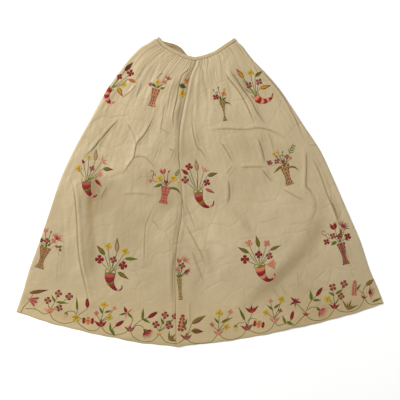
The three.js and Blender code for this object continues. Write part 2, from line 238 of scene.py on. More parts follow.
class Dye(Enum):
    """The threads of one flower or leaf: its filling, its edge or root, and its middle, vein or tip."""

    CRIMSON = (T.CRIMSON, T.DARK_RED, T.ROSE)
    WINE = (T.DARK_RED, T.CRIMSON, T.MAUVE)
    ROSE = (T.ROSE, T.CRIMSON, T.PINK)
    TIPPED = (T.DARK_RED, T.ROSE, T.PINK)
    PINK = (T.PINK, T.ROSE, T.SALMON)
    SALMON = (T.SALMON, T.PINK, T.ORANGE)
    PEACH = (T.ORANGE, T.SALMON, T.CRIMSON)
    YELLOW = (T.YELLOW, T.GOLD, T.ORANGE)
    PALE = (T.PALE, T.YELLOW, T.SALMON)
    MAUVE = (T.MAUVE, T.DARK_RED, T.ROSE)
    GREEN = (T.GREEN, T.GREEN, T.DEEP_GREEN)
    DARK = (T.DEEP_GREEN, T.GREEN, T.OLIVE)
    OLIVE = (T.OLIVE, T.GREEN, T.BROWN)
    RUST = (T.GREEN, T.BROWN, T.ROSE)
    MOSS = (T.BUFF, T.GREEN, T.GREEN)
    RUSSET = (T.DARK_RED, T.DEEP_GREEN, T.DEEP_GREEN)
    EMBER = (T.GOLD, T.CRIMSON, T.CRIMSON)
    FLAME = (T.ORANGE, T.CRIMSON, T.YELLOW)
    DUSK = (T.GREEN, T.DEEP_GREEN, T.CRIMSON)
    BLUSH = (T.ROSE, T.CRIMSON, T.CRIMSON)
    SEDGE = (T.BROWN, T.OLIVE, T.DARK_RED)
    SLATE = (T.SLATE, T.DEEP_GREEN, T.SLATE)
    FAWN = (T.PINK, T.BUFF, T.BROWN)
    STRAW = (T.BUFF, T.PALE, T.PINK)


class Form(Enum):
    """The kinds of flower and leaf that are worked."""

    FOUR = "four-petalled flower"
    FLANK = "four-petalled flower with a lobe at each side"
    STAR = "star of slim petals"
    LEAF = "leaf in two halves"
    CORE = "leaf with an edge, a filling and a tip"
    BUD = "closed bud in a cup"
    TULIP = "pointed petals in a cup"
    CROWN = "pointed petals spread wide"
    BELL = "bell with a toothed mouth"
    BURST = "fan of fine petals"
    THISTLE = "two lobes with a fringe between them"
    OBLONG = "long flower of paired lobes"
    SPRIG = "sprig of fine leaves"
    PENDANT = "hanging bud under a green cap"

    def __call__(
        self, x: float, y: float, turn: float, length: float, width: float, dye: Dye, stem: bool = True
    ) -> "Part":
        """A part of this form."""
        return Part(self, x, y, turn, length, width, dye, stem)


F = Form


class Shade(Enum):
    """How the threads of a petal follow each other."""

    RUN = "from root to tip"
    HALVES = "two halves and a vein"
    CORE = "an edge, a filling and a tip"


OUTLINES = {
    "round": ((0, 0.12, 0.35, 0.65, 0.88, 1), (0.1, 0.5, 0.86, 1, 0.7, 0.06)),
    "blunt": ((0, 0.2, 0.5, 0.8, 0.95, 1), (0.22, 0.5, 0.86, 1, 0.8, 0.35)),
    "leaf": ((0, 0.1, 0.3, 0.5, 0.75, 1), (0.08, 0.6, 0.98, 0.92, 0.46, 0.03)),
    "slim": ((0, 0.2, 0.5, 0.8, 1), (0.25, 0.75, 1, 0.6, 0.06)),
}


class Fan(NamedTuple):
    """Petals from one root: their turns, their size as shares of the part's, and their silks from the root.

    A silk is a place in the part's dye. Each petal bends back by a share of its own turn.
    """

    turns: tuple[float, ...]
    length: float
    width: float
    silks: tuple[int | Thread, int | Thread]
    outline: str
    bend: float = 0.0


FIRST, EDGE, LAST = range(3)
FANS = {
    F.TULIP: (
        Fan((-44, 44), 0.86, 0.32, (EDGE, FIRST), "leaf", -0.6),
        Fan((-17, 17), 0.96, 0.3, (EDGE, FIRST), "leaf", 0.2),
        Fan((0,), 0.7, 0.34, (LAST, LAST), "leaf"),
    ),
    F.CROWN: (
        Fan((-44, 42), 1.04, 0.28, (FIRST, EDGE), "leaf", 0.15),
        Fan((-20, 22), 0.74, 0.22, (FIRST, LAST), "leaf", 0.2),
        Fan((0,), 0.98, 0.28, (FIRST, EDGE), "leaf"),
        Fan((-30, 30, 0), 0.46, 0.32, (LAST, FIRST), "round"),
    ),
    F.BELL: (
        Fan((-24, 0, 24), 0.9, 0.42, (EDGE, FIRST), "blunt", 0.1),
        Fan((-32, -11, 11, 32), 1.0, 0.15, (LAST, LAST), "slim"),
    ),
    F.BURST: (
        Fan((-60, -22, 18, 58), 1.0, 0.17, (EDGE, LAST), "slim", 0.4),
        Fan((-42, 0, 38), 0.9, 0.2, (FIRST, LAST), "slim", 0.3),
        Fan((-20, 20), 0.45, 0.4, (EDGE, EDGE), "round"),
    ),
    F.THISTLE: (
        Fan((-50, -37.5, -25, -12.5, 0, 12.5, 25, 37.5, 50), 1.05, 0.11, (FIRST, LAST), "slim", 0.2),
        Fan((-58, 58), 0.72, 0.32, (EDGE, FIRST), "round", 0.1),
    ),
    F.PENDANT: (
        Fan((-14, 14, 0), 1.0, 0.3, (T.PINK, T.PALE), "round", 0.2),
        Fan((-34, 34, 0), 0.56, 0.34, (T.GREEN, T.GREEN), "leaf", -0.4),
    ),
}
STAR_PETALS = (
    (0, 1, None), (100, 0.8, T.PINK), (150, 0.9, None), (232, 1, T.PINK), (288, 1, None), (52, 0.5, None),
)


class Part(NamedTuple):
    """One flower or leaf on the chart: its middle, its turn clockwise from up, its size and silks."""

    form: Form
    x: float
    y: float
    turn: float
    length: float
    width: float
    dye: Dye
    stem: bool = True
    bend: float = 0.0

    def root(self) -> Pair:
        """Where its stem meets it: the middle of an open flower, or the lower end of any other.

        Returns:
            The place on the chart.
        """
        half = 0.0 if self.form in (F.FOUR, F.FLANK, F.STAR) else 0.5 * self.length
        back = half * towards(self.turn)
        return self.x - back[0], self.y - back[1]


class Vase(NamedTuple):
    """A waisted basket: its top and foot on the chart, half its width there and at its waist, and its silks."""

    top: Pair
    foot: Pair
    brim: float
    waist: float
    base: float
    threads: tuple[Thread, ...]


class Horn(NamedTuple):
    """A banded horn: its middle line on the chart from mouth to tip, half its width along it, and its bands."""

    path: tuple[Pair, ...]
    half: tuple[float, ...]
    bands: tuple[Thread, ...]


class Motif(NamedTuple):
    """A bunch of flowers on one width of cloth, with the horn, basket or flower that it grows from."""

    lap: Lap
    mouth: Pair
    parts: tuple[Part, ...]
    body: Horn | Vase | Part | None = None
    lines: tuple[tuple[Thread, tuple[Pair, ...]], ...] = ()


D = Dye


def four(x: float, y: float, turn: float, size: float, dye: Dye, stem: bool = True) -> Part:
    """A four-petalled flower, whose petals are as wide as they are long."""
    return F.FOUR(x, y, turn, size, 0, dye, stem)


def leaf(x: float, y: float, turn: float, length: float, width: float, dye: Dye, bend: float = 0.0) -> Part:
    """A leaf in two halves that has no stem of its own."""
    return Part(F.LEAF, x, y, turn, length, width, dye, False, bend)


def curl(thread: Thread, *path: Pair) -> tuple[Thread, tuple[Pair, ...]]:
    """A line of stitches in one silk."""
    return thread, path


def stem(*path: Pair) -> tuple[Thread, tuple[Pair, ...]]:
    """A line of stitches in the stems' green."""
    return T.STEM, path


HORN_BANDS = (T.ROSE, T.CRIMSON, T.OLIVE, T.CRIMSON, T.DARK_RED, T.PINK, T.CRIMSON, T.DARK_RED)
PALE_BANDS = (T.SALMON, T.CRIMSON, T.BUFF, T.CRIMSON, T.DARK_RED, T.CRIMSON, T.PINK, T.CRIMSON)
FLAME_BANDS = (T.SALMON, T.CRIMSON, T.SALMON, T.CRIMSON, T.PINK, T.CRIMSON, T.ORANGE, T.CRIMSON)
LATTICE = (T.PINK, T.CRIMSON, T.ROSE, T.OLIVE)

HORNS_AND_BASKETS = (
    # The upper row.
    Motif(Lap.UNDER, (110.6, 88.4), (
        F.CORE(129.1, 66.5, 44, 12.7, 4.6, D.RUSSET), four(130.5, 73.2, 12, 3.3, D.CRIMSON),
        four(119.3, 76.7, 40, 2.8, D.CRIMSON), F.CORE(133.1, 81.2, 113, 11, 3.2, D.FLAME),
        four(123.8, 84.3, 15, 2.8, D.YELLOW), F.CORE(120.3, 92.1, 152, 10.6, 4.4, D.EMBER, False),
    ), Horn(
        ((111, 88.4), (107.4, 91.8), (106.4, 96.6), (108.2, 100.8), (111.2, 103), (115, 101.6)),
        (2.7, 2.9, 2.7, 2.2, 1.3, 0.3), (T.CRIMSON, T.SALMON, T.CRIMSON, T.PINK, T.CRIMSON, T.SALMON, T.MAUVE),
    )),
    Motif(Lap.UNDER, (157, 88), (
        four(158, 82.3, 10, 2.6, D.YELLOW), four(164, 82.4, 30, 2.3, D.PINK),
        F.CROWN(168.6, 77.6, 24, 5.6, 4.6, D.MAUVE), four(150.6, 84.4, 20, 1.9, D.TIPPED),
        leaf(154, 84.8, -35, 5, 2.6, D.DARK), leaf(158.8, 86.6, 60, 4.6, 2.4, D.GREEN),
        leaf(162.8, 88.2, 80, 5, 2.6, D.GREEN),
    ), Vase((156.2, 88.6), (151.6, 106.4), 4.2, 2.6, 3.9, (T.PALE, T.CRIMSON, T.ROSE, T.OLIVE)), (
        curl(T.BROWN, (156.8, 79), (159, 75.6), (163, 73.2)), curl(T.PINK, (164, 79), (167, 76), (172, 73)),
    )),
    Motif(Lap.UNDER, (184, 97), (
        four(187.2, 81, 30, 2.7, D.PEACH, False), F.CORE(182.9, 86.4, 112, 7.6, 5.6, D.DARK, False),
        four(182.2, 93.8, 0, 3.3, D.YELLOW, False),
    )),
    Motif(Lap.OVER, (222, 101), (
        F.BUD(218.2, 87.6, 0, 2.8, 2.2, D.SLATE), F.BUD(213.4, 90, -20, 2.2, 1.8, D.SLATE),
        F.BUD(217, 92.2, 10, 2.2, 2, D.SLATE), four(223.4, 93.8, 20, 2.4, D.PEACH),
        four(224.2, 89.4, 20, 1.4, D.YELLOW), four(215.7, 97.2, 30, 2.7, D.WINE),
        leaf(220.4, 97.4, -10, 5, 2, D.DARK), leaf(224.4, 98.6, 50, 4.6, 2, D.GREEN),
        leaf(226.4, 101.2, 58, 9.4, 1.9, D.DARK, 84), leaf(220.6, 102.4, -165, 6, 2.4, D.GREEN),
    ), Vase((222.2, 100.5), (225.2, 120.8), 3.4, 0.8, 2.2, (T.OLIVE, T.PALE, T.BROWN, T.OLIVE))),
    Motif(Lap.OVER, (255.6, 95.2), (
        F.CORE(239.9, 73.5, -39, 12.2, 4.2, D.EMBER), four(250.4, 73, 10, 3.2, D.YELLOW),
        F.LEAF(258.9, 73.8, 55, 9.6, 3.7, D.DARK), four(249, 85.2, 30, 2.9, D.TIPPED),
        F.BUD(246.9, 82.4, -30, 2.4, 2.4, D.SLATE, False), four(258.9, 81.8, 25, 3, D.TIPPED),
        F.CORE(265.3, 87, 76, 11.8, 4.2, D.EMBER),
    ), Horn(
        ((255.6, 95.8), (258.4, 99.6), (263, 101.2), (267.8, 100.2), (271.6, 97.4), (272.8, 93.2)),
        (3.7, 3.3, 2.5, 1.8, 1.2, 0.4), FLAME_BANDS,
    ), (
        stem((255.4, 95), (249, 88.4), (243, 79.6)), stem((255.4, 95), (247.4, 90.8), (245, 88.6)),
    )),
    # The middle row.
    Motif(Lap.UNDER, (86.8, 181), (
        F.CORE(95.7, 154.6, 6, 12, 4.2, D.MOSS), F.BUD(83.1, 161.4, -20, 4.6, 4, D.WINE),
        four(88.9, 157.4, 15, 1.9, D.YELLOW), four(78.8, 168.4, 15, 3.1, D.YELLOW), four(92, 168.4, 30, 2.5, D.MAUVE),
        F.CROWN(104.2, 160.8, 66, 7, 5, D.PINK), F.CORE(108.2, 169.2, 95, 10.6, 4.2, D.DUSK),
        four(100.4, 174.4, 20, 2.3, D.SALMON), F.CORE(98.6, 183.2, 137, 10.4, 3.2, D.CRIMSON, False),
    ), Horn(
        ((86.2, 181.5), (86.5, 186.4), (88.2, 191.4), (91.2, 195.4), (94.6, 196.6), (97, 194.6)),
        (4.6, 4.1, 2.9, 1.9, 1.1, 0.4), HORN_BANDS,
    )),
    Motif(Lap.UNDER, (166.2, 186), (
        F.TULIP(162.8, 170.4, -12, 7.4, 6, D.ROSE), F.BUD(169, 171.4, 35, 3, 2.2, D.WINE),
        F.SPRIG(177, 173.4, 38, 8, 6, D.GREEN), four(159.4, 178.4, 15, 3.1, D.YELLOW),
        four(173.3, 178.4, 30, 3.1, D.YELLOW), F.TULIP(166.2, 181.2, 0, 5.2, 4.6, D.CRIMSON),
        leaf(157.8, 185.7, -111, 9.6, 3.4, D.GREEN), leaf(175.4, 187, 74, 14.5, 2.8, D.GREEN, 105),
        four(150.4, 180.8, 20, 1.8, D.PINK, False), four(178.4, 182.4, 20, 2, D.PALE, False),
    ), Vase((166.3, 186.4), (163, 203.4), 5, 3.1, 4.7, LATTICE), (
        curl(T.BROWN, (157, 182), (153.4, 180.4), (152.4, 176.6), (155, 174.6), (156, 176.6)),
        curl(T.BROWN, (153.4, 175.4), (153.6, 171.8), (151.2, 170.4), (150.2, 172.2)),
    )),
    Motif(Lap.OVER, (197.9, 192), (
        four(189, 166.8, 10, 3.3, D.CRIMSON), F.CORE(184.4, 171.6, -53, 9.8, 3.8, D.CRIMSON),
        four(185.1, 180, 0, 3.4, D.TIPPED), F.CORE(196.5, 165.1, -9, 12.2, 4.2, D.MOSS),
        F.CROWN(205.2, 169, 35, 6.2, 5, D.PINK), F.CORE(212.6, 174.4, 75, 11, 4.2, D.DUSK),
        four(206.8, 182.6, 20, 3.2, D.WINE), F.CORE(210.2, 191, 114, 10.6, 3.2, D.BLUSH, False),
        F.BUD(197, 178.6, 0, 2.4, 2.2, D.SALMON),
    ), Horn(
        ((198.2, 192.2), (198.9, 197.4), (201.4, 202.4), (205.5, 206.2), (210, 206.8), (213.3, 204.4), (213.8, 200.6)),
        (4.6, 3.8, 2.7, 1.9, 1.1, 0.7, 0.4), HORN_BANDS,
    )),
    Motif(Lap.OVER, (285, 165), (
        F.SPRIG(291.4, 150, 26, 10.5, 7, D.GREEN), four(274.2, 154, 20, 1.9, D.YELLOW),
        four(277.6, 152.2, 0, 1.6, D.YELLOW), four(276.4, 156.8, 10, 1.5, D.PEACH),
        F.BUD(282.5, 151.9, 20, 2.6, 1.8, D.DARK), four(287, 156.6, 10, 2, D.TIPPED),
        four(290.3, 158, 30, 1.9, D.PINK), F.TULIP(283.2, 160.8, 0, 4.6, 4.2, D.CRIMSON),
        four(276.8, 161.4, 30, 2.4, D.TIPPED), four(269.6, 162.6, 20, 2.6, D.MAUVE, False),
        leaf(277.4, 169.6, -133, 11, 2.5, D.GREEN), leaf(293.2, 165.4, 66, 13.6, 1.9, D.OLIVE, 100),
    ), Vase((284, 164.6), (289.8, 184.7), 5.2, 2.7, 4.5, (T.PALE, T.ROSE, T.BROWN, T.OLIVE)), (
        curl(T.BROWN, (280, 159.6), (280.2, 156.4), (282.4, 155), (284.8, 156.6), (284.8, 159)),
        curl(T.BROWN, (266.8, 160.8), (268.4, 164), (271, 164), (272.8, 162.4)),
        curl(T.PINK, (270, 166), (274.6, 164.6), (277, 162)),
    )),
    # The lower row.
    Motif(Lap.UNDER, (46, 246.4), (
        F.TULIP(46, 229.4, 8, 6.6, 4.6, D.PINK), F.BUD(51, 231.8, 20, 2.6, 2.4, D.WINE),
        four(46.9, 241, 10, 2.8, D.TIPPED), four(53.7, 240.8, 35, 2.7, D.PINK), four(41.4, 240, 10, 2.3, D.CRIMSON),
        F.BURST(58.6, 236.2, 38, 8.4, 8, D.ROSE), leaf(42.2, 245.2, -30, 4.6, 2.2, D.DARK),
        leaf(46, 245.4, 0, 4, 2.2, D.GREEN), leaf(49.6, 244.4, 35, 4.4, 2.2, D.DARK),
        leaf(57.4, 246.8, 118, 5.6, 2.6, D.GREEN), leaf(60.6, 246.6, 70, 4, 2.8, D.DARK),
        leaf(60.2, 250.2, 150, 4, 2.8, D.DARK),
    ), Vase((45.6, 247.2), (39.2, 268.2), 6, 2.6, 4.8, (T.PINK, T.ROSE, T.OLIVE, T.OLIVE)), (
        curl(T.PINK, (51, 248), (54, 246.2), (57, 249), (58.6, 255)),
    )),
    Motif(Lap.UNDER, (110.6, 272), (
        F.CORE(100.7, 250, -40, 12.8, 4.6, D.DUSK), four(108, 246.3, 12, 3.4, D.YELLOW),
        F.CORE(117, 244.8, 1, 15, 4.8, D.MOSS), four(125.1, 251.5, 30, 3.4, D.YELLOW),
        four(99.4, 259.4, 5, 4, D.CRIMSON), four(113.4, 259.8, 14, 3.3, D.TIPPED),
        F.LEAF(131.4, 258.9, 92, 13.6, 3.8, D.GREEN), four(123, 265.5, 15, 3.9, D.CRIMSON),
        F.CORE(123.2, 275.7, 124, 13.4, 4.2, D.DUSK, False),
    ), Horn(
        ((110.2, 272.8), (109.7, 278.5), (111.2, 284), (114.6, 288.6), (118.8, 290.4), (121.8, 288.4), (121.8, 285.4)),
        (5.4, 4.8, 3.2, 2.1, 1.2, 0.7, 0.4), HORN_BANDS,
    )),
    Motif(Lap.OVER, (179.4, 277.6), (
        F.TULIP(179.3, 259.8, 10, 6, 4, D.ROSE), four(182.2, 265.8, 20, 2.8, D.TIPPED),
        four(177.4, 269.8, 0, 2.5, D.PINK), F.BURST(186.2, 258.8, 42, 7, 6, D.PINK),
        F.BURST(187.6, 272.6, 135, 6, 6, D.CRIMSON), leaf(177.6, 276.2, -40, 4.6, 2.4, D.GREEN),
        leaf(181.6, 275.4, 40, 4.6, 2.2, D.GREEN),
    ), Vase((179.2, 278.4), (180.8, 299.6), 2.4, 1.5, 2.0, (T.PALE, T.ROSE, T.OLIVE, T.OLIVE))),
    Motif(Lap.OVER, (259.4, 266), (
        F.CORE(243.2, 250, -63, 13, 4.2, D.OLIVE), four(248.8, 243.2, 20, 3.3, D.SALMON),
        F.CORE(257.5, 241.4, -14, 12.2, 4.5, D.OLIVE), four(266.9, 243.2, 35, 3.3, D.PINK),
        F.CORE(275.3, 247.8, 66, 12, 3.7, D.OLIVE), four(244.9, 259.4, 3, 4, D.CRIMSON),
        four(258.7, 254.5, 8, 3.6, D.CRIMSON), four(269.5, 256.1, 25, 3.2, D.TIPPED),
        F.BELL(272, 264.2, 85, 10.4, 5, D.SALMON),
    ), Horn(
        ((259.8, 266.8), (261.2, 272.5), (264.2, 277.4), (268.2, 280.2), (272.2, 279.2), (274.9, 276.4),
         (274.4, 273.4)),
        (5.3, 4.5, 3.1, 2.1, 1.2, 0.7, 0.45), PALE_BANDS,
    )),
    Motif(Lap.OVER, (340.2, 242.2), (
        F.TULIP(333.2, 225.6, -24, 8.4, 8.4, D.CRIMSON), F.BURST(344.2, 224.2, 34, 8, 6.4, D.MAUVE),
        four(344.6, 228.2, 20, 1.8, D.PINK), F.CORE(340.8, 232, -12, 8, 2.8, D.OLIVE, False),
        four(333, 236, 20, 2.8, D.TIPPED), four(339, 236.4, 10, 2.6, D.WINE), four(347.6, 236.4, 30, 3.3, D.CRIMSON),
        four(326.6, 241.8, 30, 2.8, D.WINE), leaf(333.6, 243.4, -125, 7, 3.6, D.GREEN),
        leaf(347.4, 239.8, 105, 5, 1.6, D.GREEN),
    ), Vase((340.6, 243), (346.3, 264.3), 4.4, 2.2, 3.7, (T.PINK, T.ROSE, T.DARK_RED, T.OLIVE)), (
        curl(T.MAUVE, (330, 238.6), (327, 237.4), (325.8, 234.8), (328.4, 233.6), (329, 235.6)),
        curl(T.BROWN, (325.6, 235.4), (323, 234.6), (321.9, 232.2), (324, 230.8), (325.4, 232.4)),
    )),
)

BORDER = (
    Motif(Lap.UNDER, (49.7, 311), (
        four(58.3, 293.5, 5, 3.3, D.TIPPED), four(69.2, 296.4, 10, 3.5, D.TIPPED),
        four(47.7, 300.4, 12, 3.3, D.TIPPED), four(59.7, 308.1, 20, 3, D.TIPPED),
        leaf(53.2, 298.4, -28, 8.6, 2.3, D.GREEN), leaf(62.4, 302.6, 96, 13, 2.7, D.GREEN),
        F.CORE(38.8, 291.5, 81, 19.4, 4.2, D.SEDGE, False), F.BELL(33.4, 301, 112, 12, 6, D.ROSE, False),
        F.PENDANT(65.4, 315.4, 203, 7.6, 4.6, D.PINK, False),
    ), F.CROWN(49.7, 309.4, 0, 7.6, 9, D.SALMON), (
        stem((49.8, 313), (53, 319), (63.5, 323.4), (74, 321.4), (75.6, 318)),
        stem((25.5, 308.6), (36, 309.4), (44, 314), (49.8, 312.6)),
        stem((75.4, 314), (74, 311.6), (69, 311.2), (66.6, 312)),
        stem((20.6, 313), (23.6, 307), (28.6, 301.6), (33, 294.6)),
    )),
    Motif(Lap.UNDER, (75.6, 317), (
        F.LEAF(76.9, 303.8, -3, 14, 2.5, D.GREEN), F.BUD(87.3, 302.8, -3, 10.6, 5, D.CRIMSON),
        F.FLANK(88, 320.8, 4, 3.4, 0, D.PEACH),
    ), four(75.6, 318.2, 45, 3.6, D.YELLOW), (
        stem((76.6, 319), (79, 324), (88, 330), (96, 330.4), (100.6, 325.6)),
    )),
    Motif(Lap.UNDER, (100.9, 322), (
        four(104.2, 304.6, 12, 3.4, D.YELLOW), four(114.5, 308, 20, 2, D.SALMON), four(96.2, 313, 10, 2.4, D.PINK),
        four(109.4, 317.3, 20, 2.9, D.YELLOW), leaf(100.8, 310.1, -27, 8.2, 2.6, D.GREEN),
        leaf(108.2, 311.5, 74, 7.6, 2.3, D.DARK), F.BUD(119.8, 323.4, 57, 11.4, 4.4, D.CRIMSON, False),
        leaf(110.2, 326.6, 0, 9, 2.3, D.GREEN), leaf(112.8, 332.6, 150, 9, 3.4, D.GREEN),
    ), F.CROWN(100.9, 322.6, 0, 8.8, 11, D.CRIMSON), (
        stem((101, 326), (105.4, 332), (113.4, 335), (122.6, 333.6), (129.6, 329.4)),
        stem((110.4, 331), (113, 328.4), (115.6, 326.4)),
    )),
    Motif(Lap.UNDER, (130.2, 327), (
        F.CORE(125.2, 309.4, -20, 7.4, 3.2, D.CRIMSON, False), leaf(129.9, 310.7, 52, 8, 2, D.SALMON),
        leaf(125.8, 315.8, 200, 6, 1.8, D.SALMON), leaf(122.4, 314.2, -104, 8, 2.2, D.GREEN),
        leaf(129.8, 315.8, 140, 7.4, 2.2, D.GREEN), leaf(142.8, 313.8, 4, 12.6, 2.8, D.GREEN),
        leaf(146.6, 321, 118, 9.4, 2.9, D.GREEN), F.BUD(153, 314.8, 59, 12.6, 4.4, D.CRIMSON, False),
        leaf(145, 330.4, -42, 5, 3.8, D.DARK), F.THISTLE(148, 334.4, 150, 8.4, 8, D.CRIMSON, False),
    ), F.CROWN(130.1, 327.8, 0, 7.8, 9, D.MAUVE), (
        stem((130.2, 329), (133, 336.4), (142, 341.2), (152.4, 340.8), (158.6, 335)),
        stem((131, 325), (132.6, 319.6), (131.4, 316), (128, 312.6)),
        stem((133, 327), (137.6, 322.8), (141.8, 319.6)), stem((135, 325.6), (140, 325.4), (143.6, 328)),
        stem((142.4, 320), (146, 318.4), (148, 317.6)),
    )),
    Motif(Lap.UNDER, (158.8, 331.6), (
        four(165.1, 315.2, 12, 3.3, D.TIPPED), four(155.9, 324.4, 20, 3.3, D.TIPPED),
        four(174.8, 316.4, 15, 2.8, D.TIPPED), four(169.1, 325.6, 20, 3.5, D.TIPPED),
        leaf(162.2, 321.1, -26, 7.4, 2.8, D.GREEN), leaf(169.4, 321.4, 77, 8, 2.1, D.GREEN),
        F.CROWN(172.6, 337, 48, 10, 8, D.RUST, False),
    ), F.CROWN(158.8, 332.6, 0, 6, 7, D.STRAW), (
        stem((159, 334), (166, 342), (171, 343.2), (178, 343), (186, 338)),
    )),
    Motif(Lap.OVER, (186.6, 335.6), (
        F.OBLONG(181.6, 323.4, 9, 13.4, 6.6, D.CRIMSON, False), leaf(185.6, 322.6, 22, 9, 3, D.GREEN),
        leaf(185, 327.6, -14, 6, 2.4, D.GREEN), F.LEAF(199, 319.4, 60, 17, 5.2, D.RUST),
        F.CORE(197.4, 331.2, 95, 12, 5.6, D.SEDGE),
    ), F.CROWN(186.4, 336, 0, 8, 8.6, D.MAUVE), (
        stem((165, 341.6), (171, 343.2), (178, 343), (186, 338)),
        stem((186.6, 338), (191, 342.4), (200.6, 343.6), (210.6, 342.2), (217.6, 334.6)),
    )),
    Motif(Lap.OVER, (218.4, 331), (
        four(211.8, 324.4, 10, 2.2, D.PINK), four(219.2, 313.2, 14, 3.6, D.YELLOW),
        four(230.5, 311.8, 10, 2.6, D.FAWN), four(226.8, 326.3, 25, 3, D.YELLOW),
        leaf(216.2, 320.2, -42, 7.4, 2.3, D.GREEN), leaf(226.8, 320, 67, 12.6, 2.9, D.GREEN),
        F.PENDANT(235.7, 328.6, 178, 7.6, 5, D.GREEN, False),
    ), F.CROWN(218.3, 331.6, 0, 7.2, 8.4, D.PINK), (
        stem((218.4, 333.6), (224.2, 338.6), (233.4, 339.4), (242.4, 335.6), (246.6, 329)),
        stem((236, 325.2), (238.6, 323.2), (244.4, 322.6)),
    )),
    Motif(Lap.OVER, (247.2, 326), (
        F.LEAF(241.8, 313.8, -25, 15.2, 3, D.GREEN), F.CROWN(251.6, 308.4, -4, 9.4, 10, D.CRIMSON),
        F.FLANK(258.9, 324.3, 10, 3.3, 0, D.PEACH),
    ), F.CROWN(247, 326.4, -8, 8.4, 10, D.MAUVE), (
        stem((247.4, 329), (255.6, 332.8), (263.4, 332.8), (271.2, 328.4), (274.6, 322)),
        stem((247.4, 321.6), (250, 318.8), (254.6, 318.6), (257.2, 320.6)),
    )),
    Motif(Lap.OVER, (274.4, 318.6), (
        four(270.6, 300.9, 10, 2.2, D.FAWN), four(281.5, 299.7, 14, 3.5, D.YELLOW),
        four(265.8, 312.2, 10, 3, D.YELLOW), four(280.2, 310.7, 20, 1.9, D.TIPPED),
        leaf(269.9, 307.4, -50, 8.4, 2.3, D.GREEN), leaf(277.2, 306, 54, 8, 2.5, D.DARK),
        leaf(284, 319.4, -22, 9, 2.8, D.GREEN), leaf(290.2, 323, 112, 8, 2.8, D.GREEN),
        F.BUD(292.2, 315.2, 14, 10.4, 4.2, D.CRIMSON, False),
    ), F.CROWN(274.4, 318.8, 0, 7.4, 8.4, D.PINK), (
        stem((274.6, 321.4), (278, 325.6), (285.4, 323.6), (294.2, 325.2), (300, 319.8), (305.4, 314.6)),
        stem((286.6, 322.4), (289, 321.6), (291, 320)),
    )),
    Motif(Lap.OVER, (306, 313), (
        F.STAR(295.5, 301.6, -48, 6.8, 2.4, D.CRIMSON), leaf(311, 295.4, -7, 10, 3.6, D.GREEN),
        leaf(317.2, 300.2, 91, 8.4, 2.7, D.GREEN), F.BUD(319.5, 291.6, 35, 12, 4, D.CRIMSON, False),
        leaf(318.2, 308.8, -38, 5, 3.2, D.DARK), F.THISTLE(323.4, 313.2, 128, 8.6, 8, D.ROSE, False),
    ), F.CROWN(306, 313.6, 8, 5, 5, D.CRIMSON), (
        stem((306.2, 315), (310.6, 319.2), (318.4, 320.6), (327.4, 318), (334.4, 309.6)),
        stem((306.4, 311), (309, 304.6), (312.4, 299.4), (315.6, 296.4)),
        stem((308, 310), (311, 307.4), (316.4, 307.6)),
    )),
    Motif(Lap.OVER, (334.7, 305), (
        four(327.5, 298.9, 14, 3.4, D.YELLOW), four(332.7, 287.2, 30, 3.3, D.TIPPED),
        four(344.2, 283.9, 20, 3.5, D.TIPPED), four(341.2, 296.2, 14, 3.1, D.TIPPED),
        leaf(331.3, 293.7, -62, 7.4, 2.5, D.GREEN), leaf(339.3, 291.7, 57, 9, 2.7, D.GREEN),
        F.CROWN(349.6, 304.6, 18, 11.4, 8, D.RUST, False),
    ), F.CROWN(334.6, 305.4, 0, 7.2, 8.4, D.CRIMSON), (
        stem((334.8, 308), (340.6, 311.2), (349.6, 311.8), (358.8, 308), (364.4, 298)),
    )),
    Motif(Lap.OVER, (364, 296), (
        F.OBLONG(354.5, 288.4, 4, 12.4, 5.6, D.ROSE, False), F.OBLONG(354.5, 288.4, 4, 11.4, 3.2, D.CRIMSON, False),
        leaf(358.9, 286.8, 36, 7.6, 2.2, D.GREEN), F.CORE(370.4, 282, 52, 11, 4.4, D.RUST, False),
        F.BURST(372.6, 292.2, 86, 8.4, 5.4, D.WINE, False), leaf(377.4, 299.8, 68, 12, 2.6, D.GREEN),
    ), F.CROWN(364, 296.4, 20, 4.6, 4.6, D.CRIMSON), (
        stem((364.2, 298), (368.4, 303.4), (374, 304.2), (382, 303)),
        stem((363.6, 294.6), (363, 290.6), (365.6, 286.4), (367, 285.2)),
        stem((362.6, 293.6), (359.4, 290.4), (357, 289.6)),
    )),
)


# Broad patches of painted shade, partly soil, where the amount is above 0, and of painted light where it is below.
TONES = tuple(Tone(*row) for row in (
    (((321, 208), (316, 232), (301, 256), (281, 276), (246, 304)), 26, 0.8),
    (((334, 250), (318, 276), (292, 296)), 44, 0.16), (((94, 160), (91, 190), (90, 225), (92, 285)), 22, 0.68),
    (((98, 176), (98, 200)), 26, 0.3), (((72, 190), (74, 230), (78, 270)), 24, -0.2),
    (((118, 205), (130, 235), (150, 290)), 60, 0.26), (((178, 218), (176, 250), (177, 290)), 20, 0.4),
    (((199, 222), (206, 245), (211, 278)), 12, 0.28), (((229, 206), (240, 219), (253, 234)), 14, 0.25),
    (((8, 306), (36, 318), (84, 334)), 26, -0.3), (((190, 242), (197, 270), (193, 300)), 20, 0.3),
    (((181, 66), (178, 100), (177, 135)), 12, 0.12), (((205, 120), (214, 158), (222, 195)), 16, -0.12),
    (((176, 142), (190, 156)), 30, 0.3), (((232, 142), (258, 150)), 36, 0.3), (((236, 68), (250, 94)), 14, 0.5),
    (((112, 108), (100, 150)), 34, 0.35), (((84, 150), (62, 200)), 30, -0.15), (((130, 168), (155, 182)), 42, 0.25),
    (((206, 225), (222, 262)), 30, -0.15), (((262, 195), (296, 208)), 50, -0.12), (((92, 176), (106, 216)), 85, 0.36),
    (((166, 168), (168, 214)), 80, 0.42), (((286, 322), (336, 302), (376, 288)), 62, 0.42),
))


def chart(places: Sequence[Pair]) -> Array:
    """Turns places on the chart, x to the right and y down, into millimetres from the frame's origin."""
    return (np.asarray(places, dtype=float).reshape(-1, 2) - CHART_ORIGIN) * (SQUARE, -SQUARE)


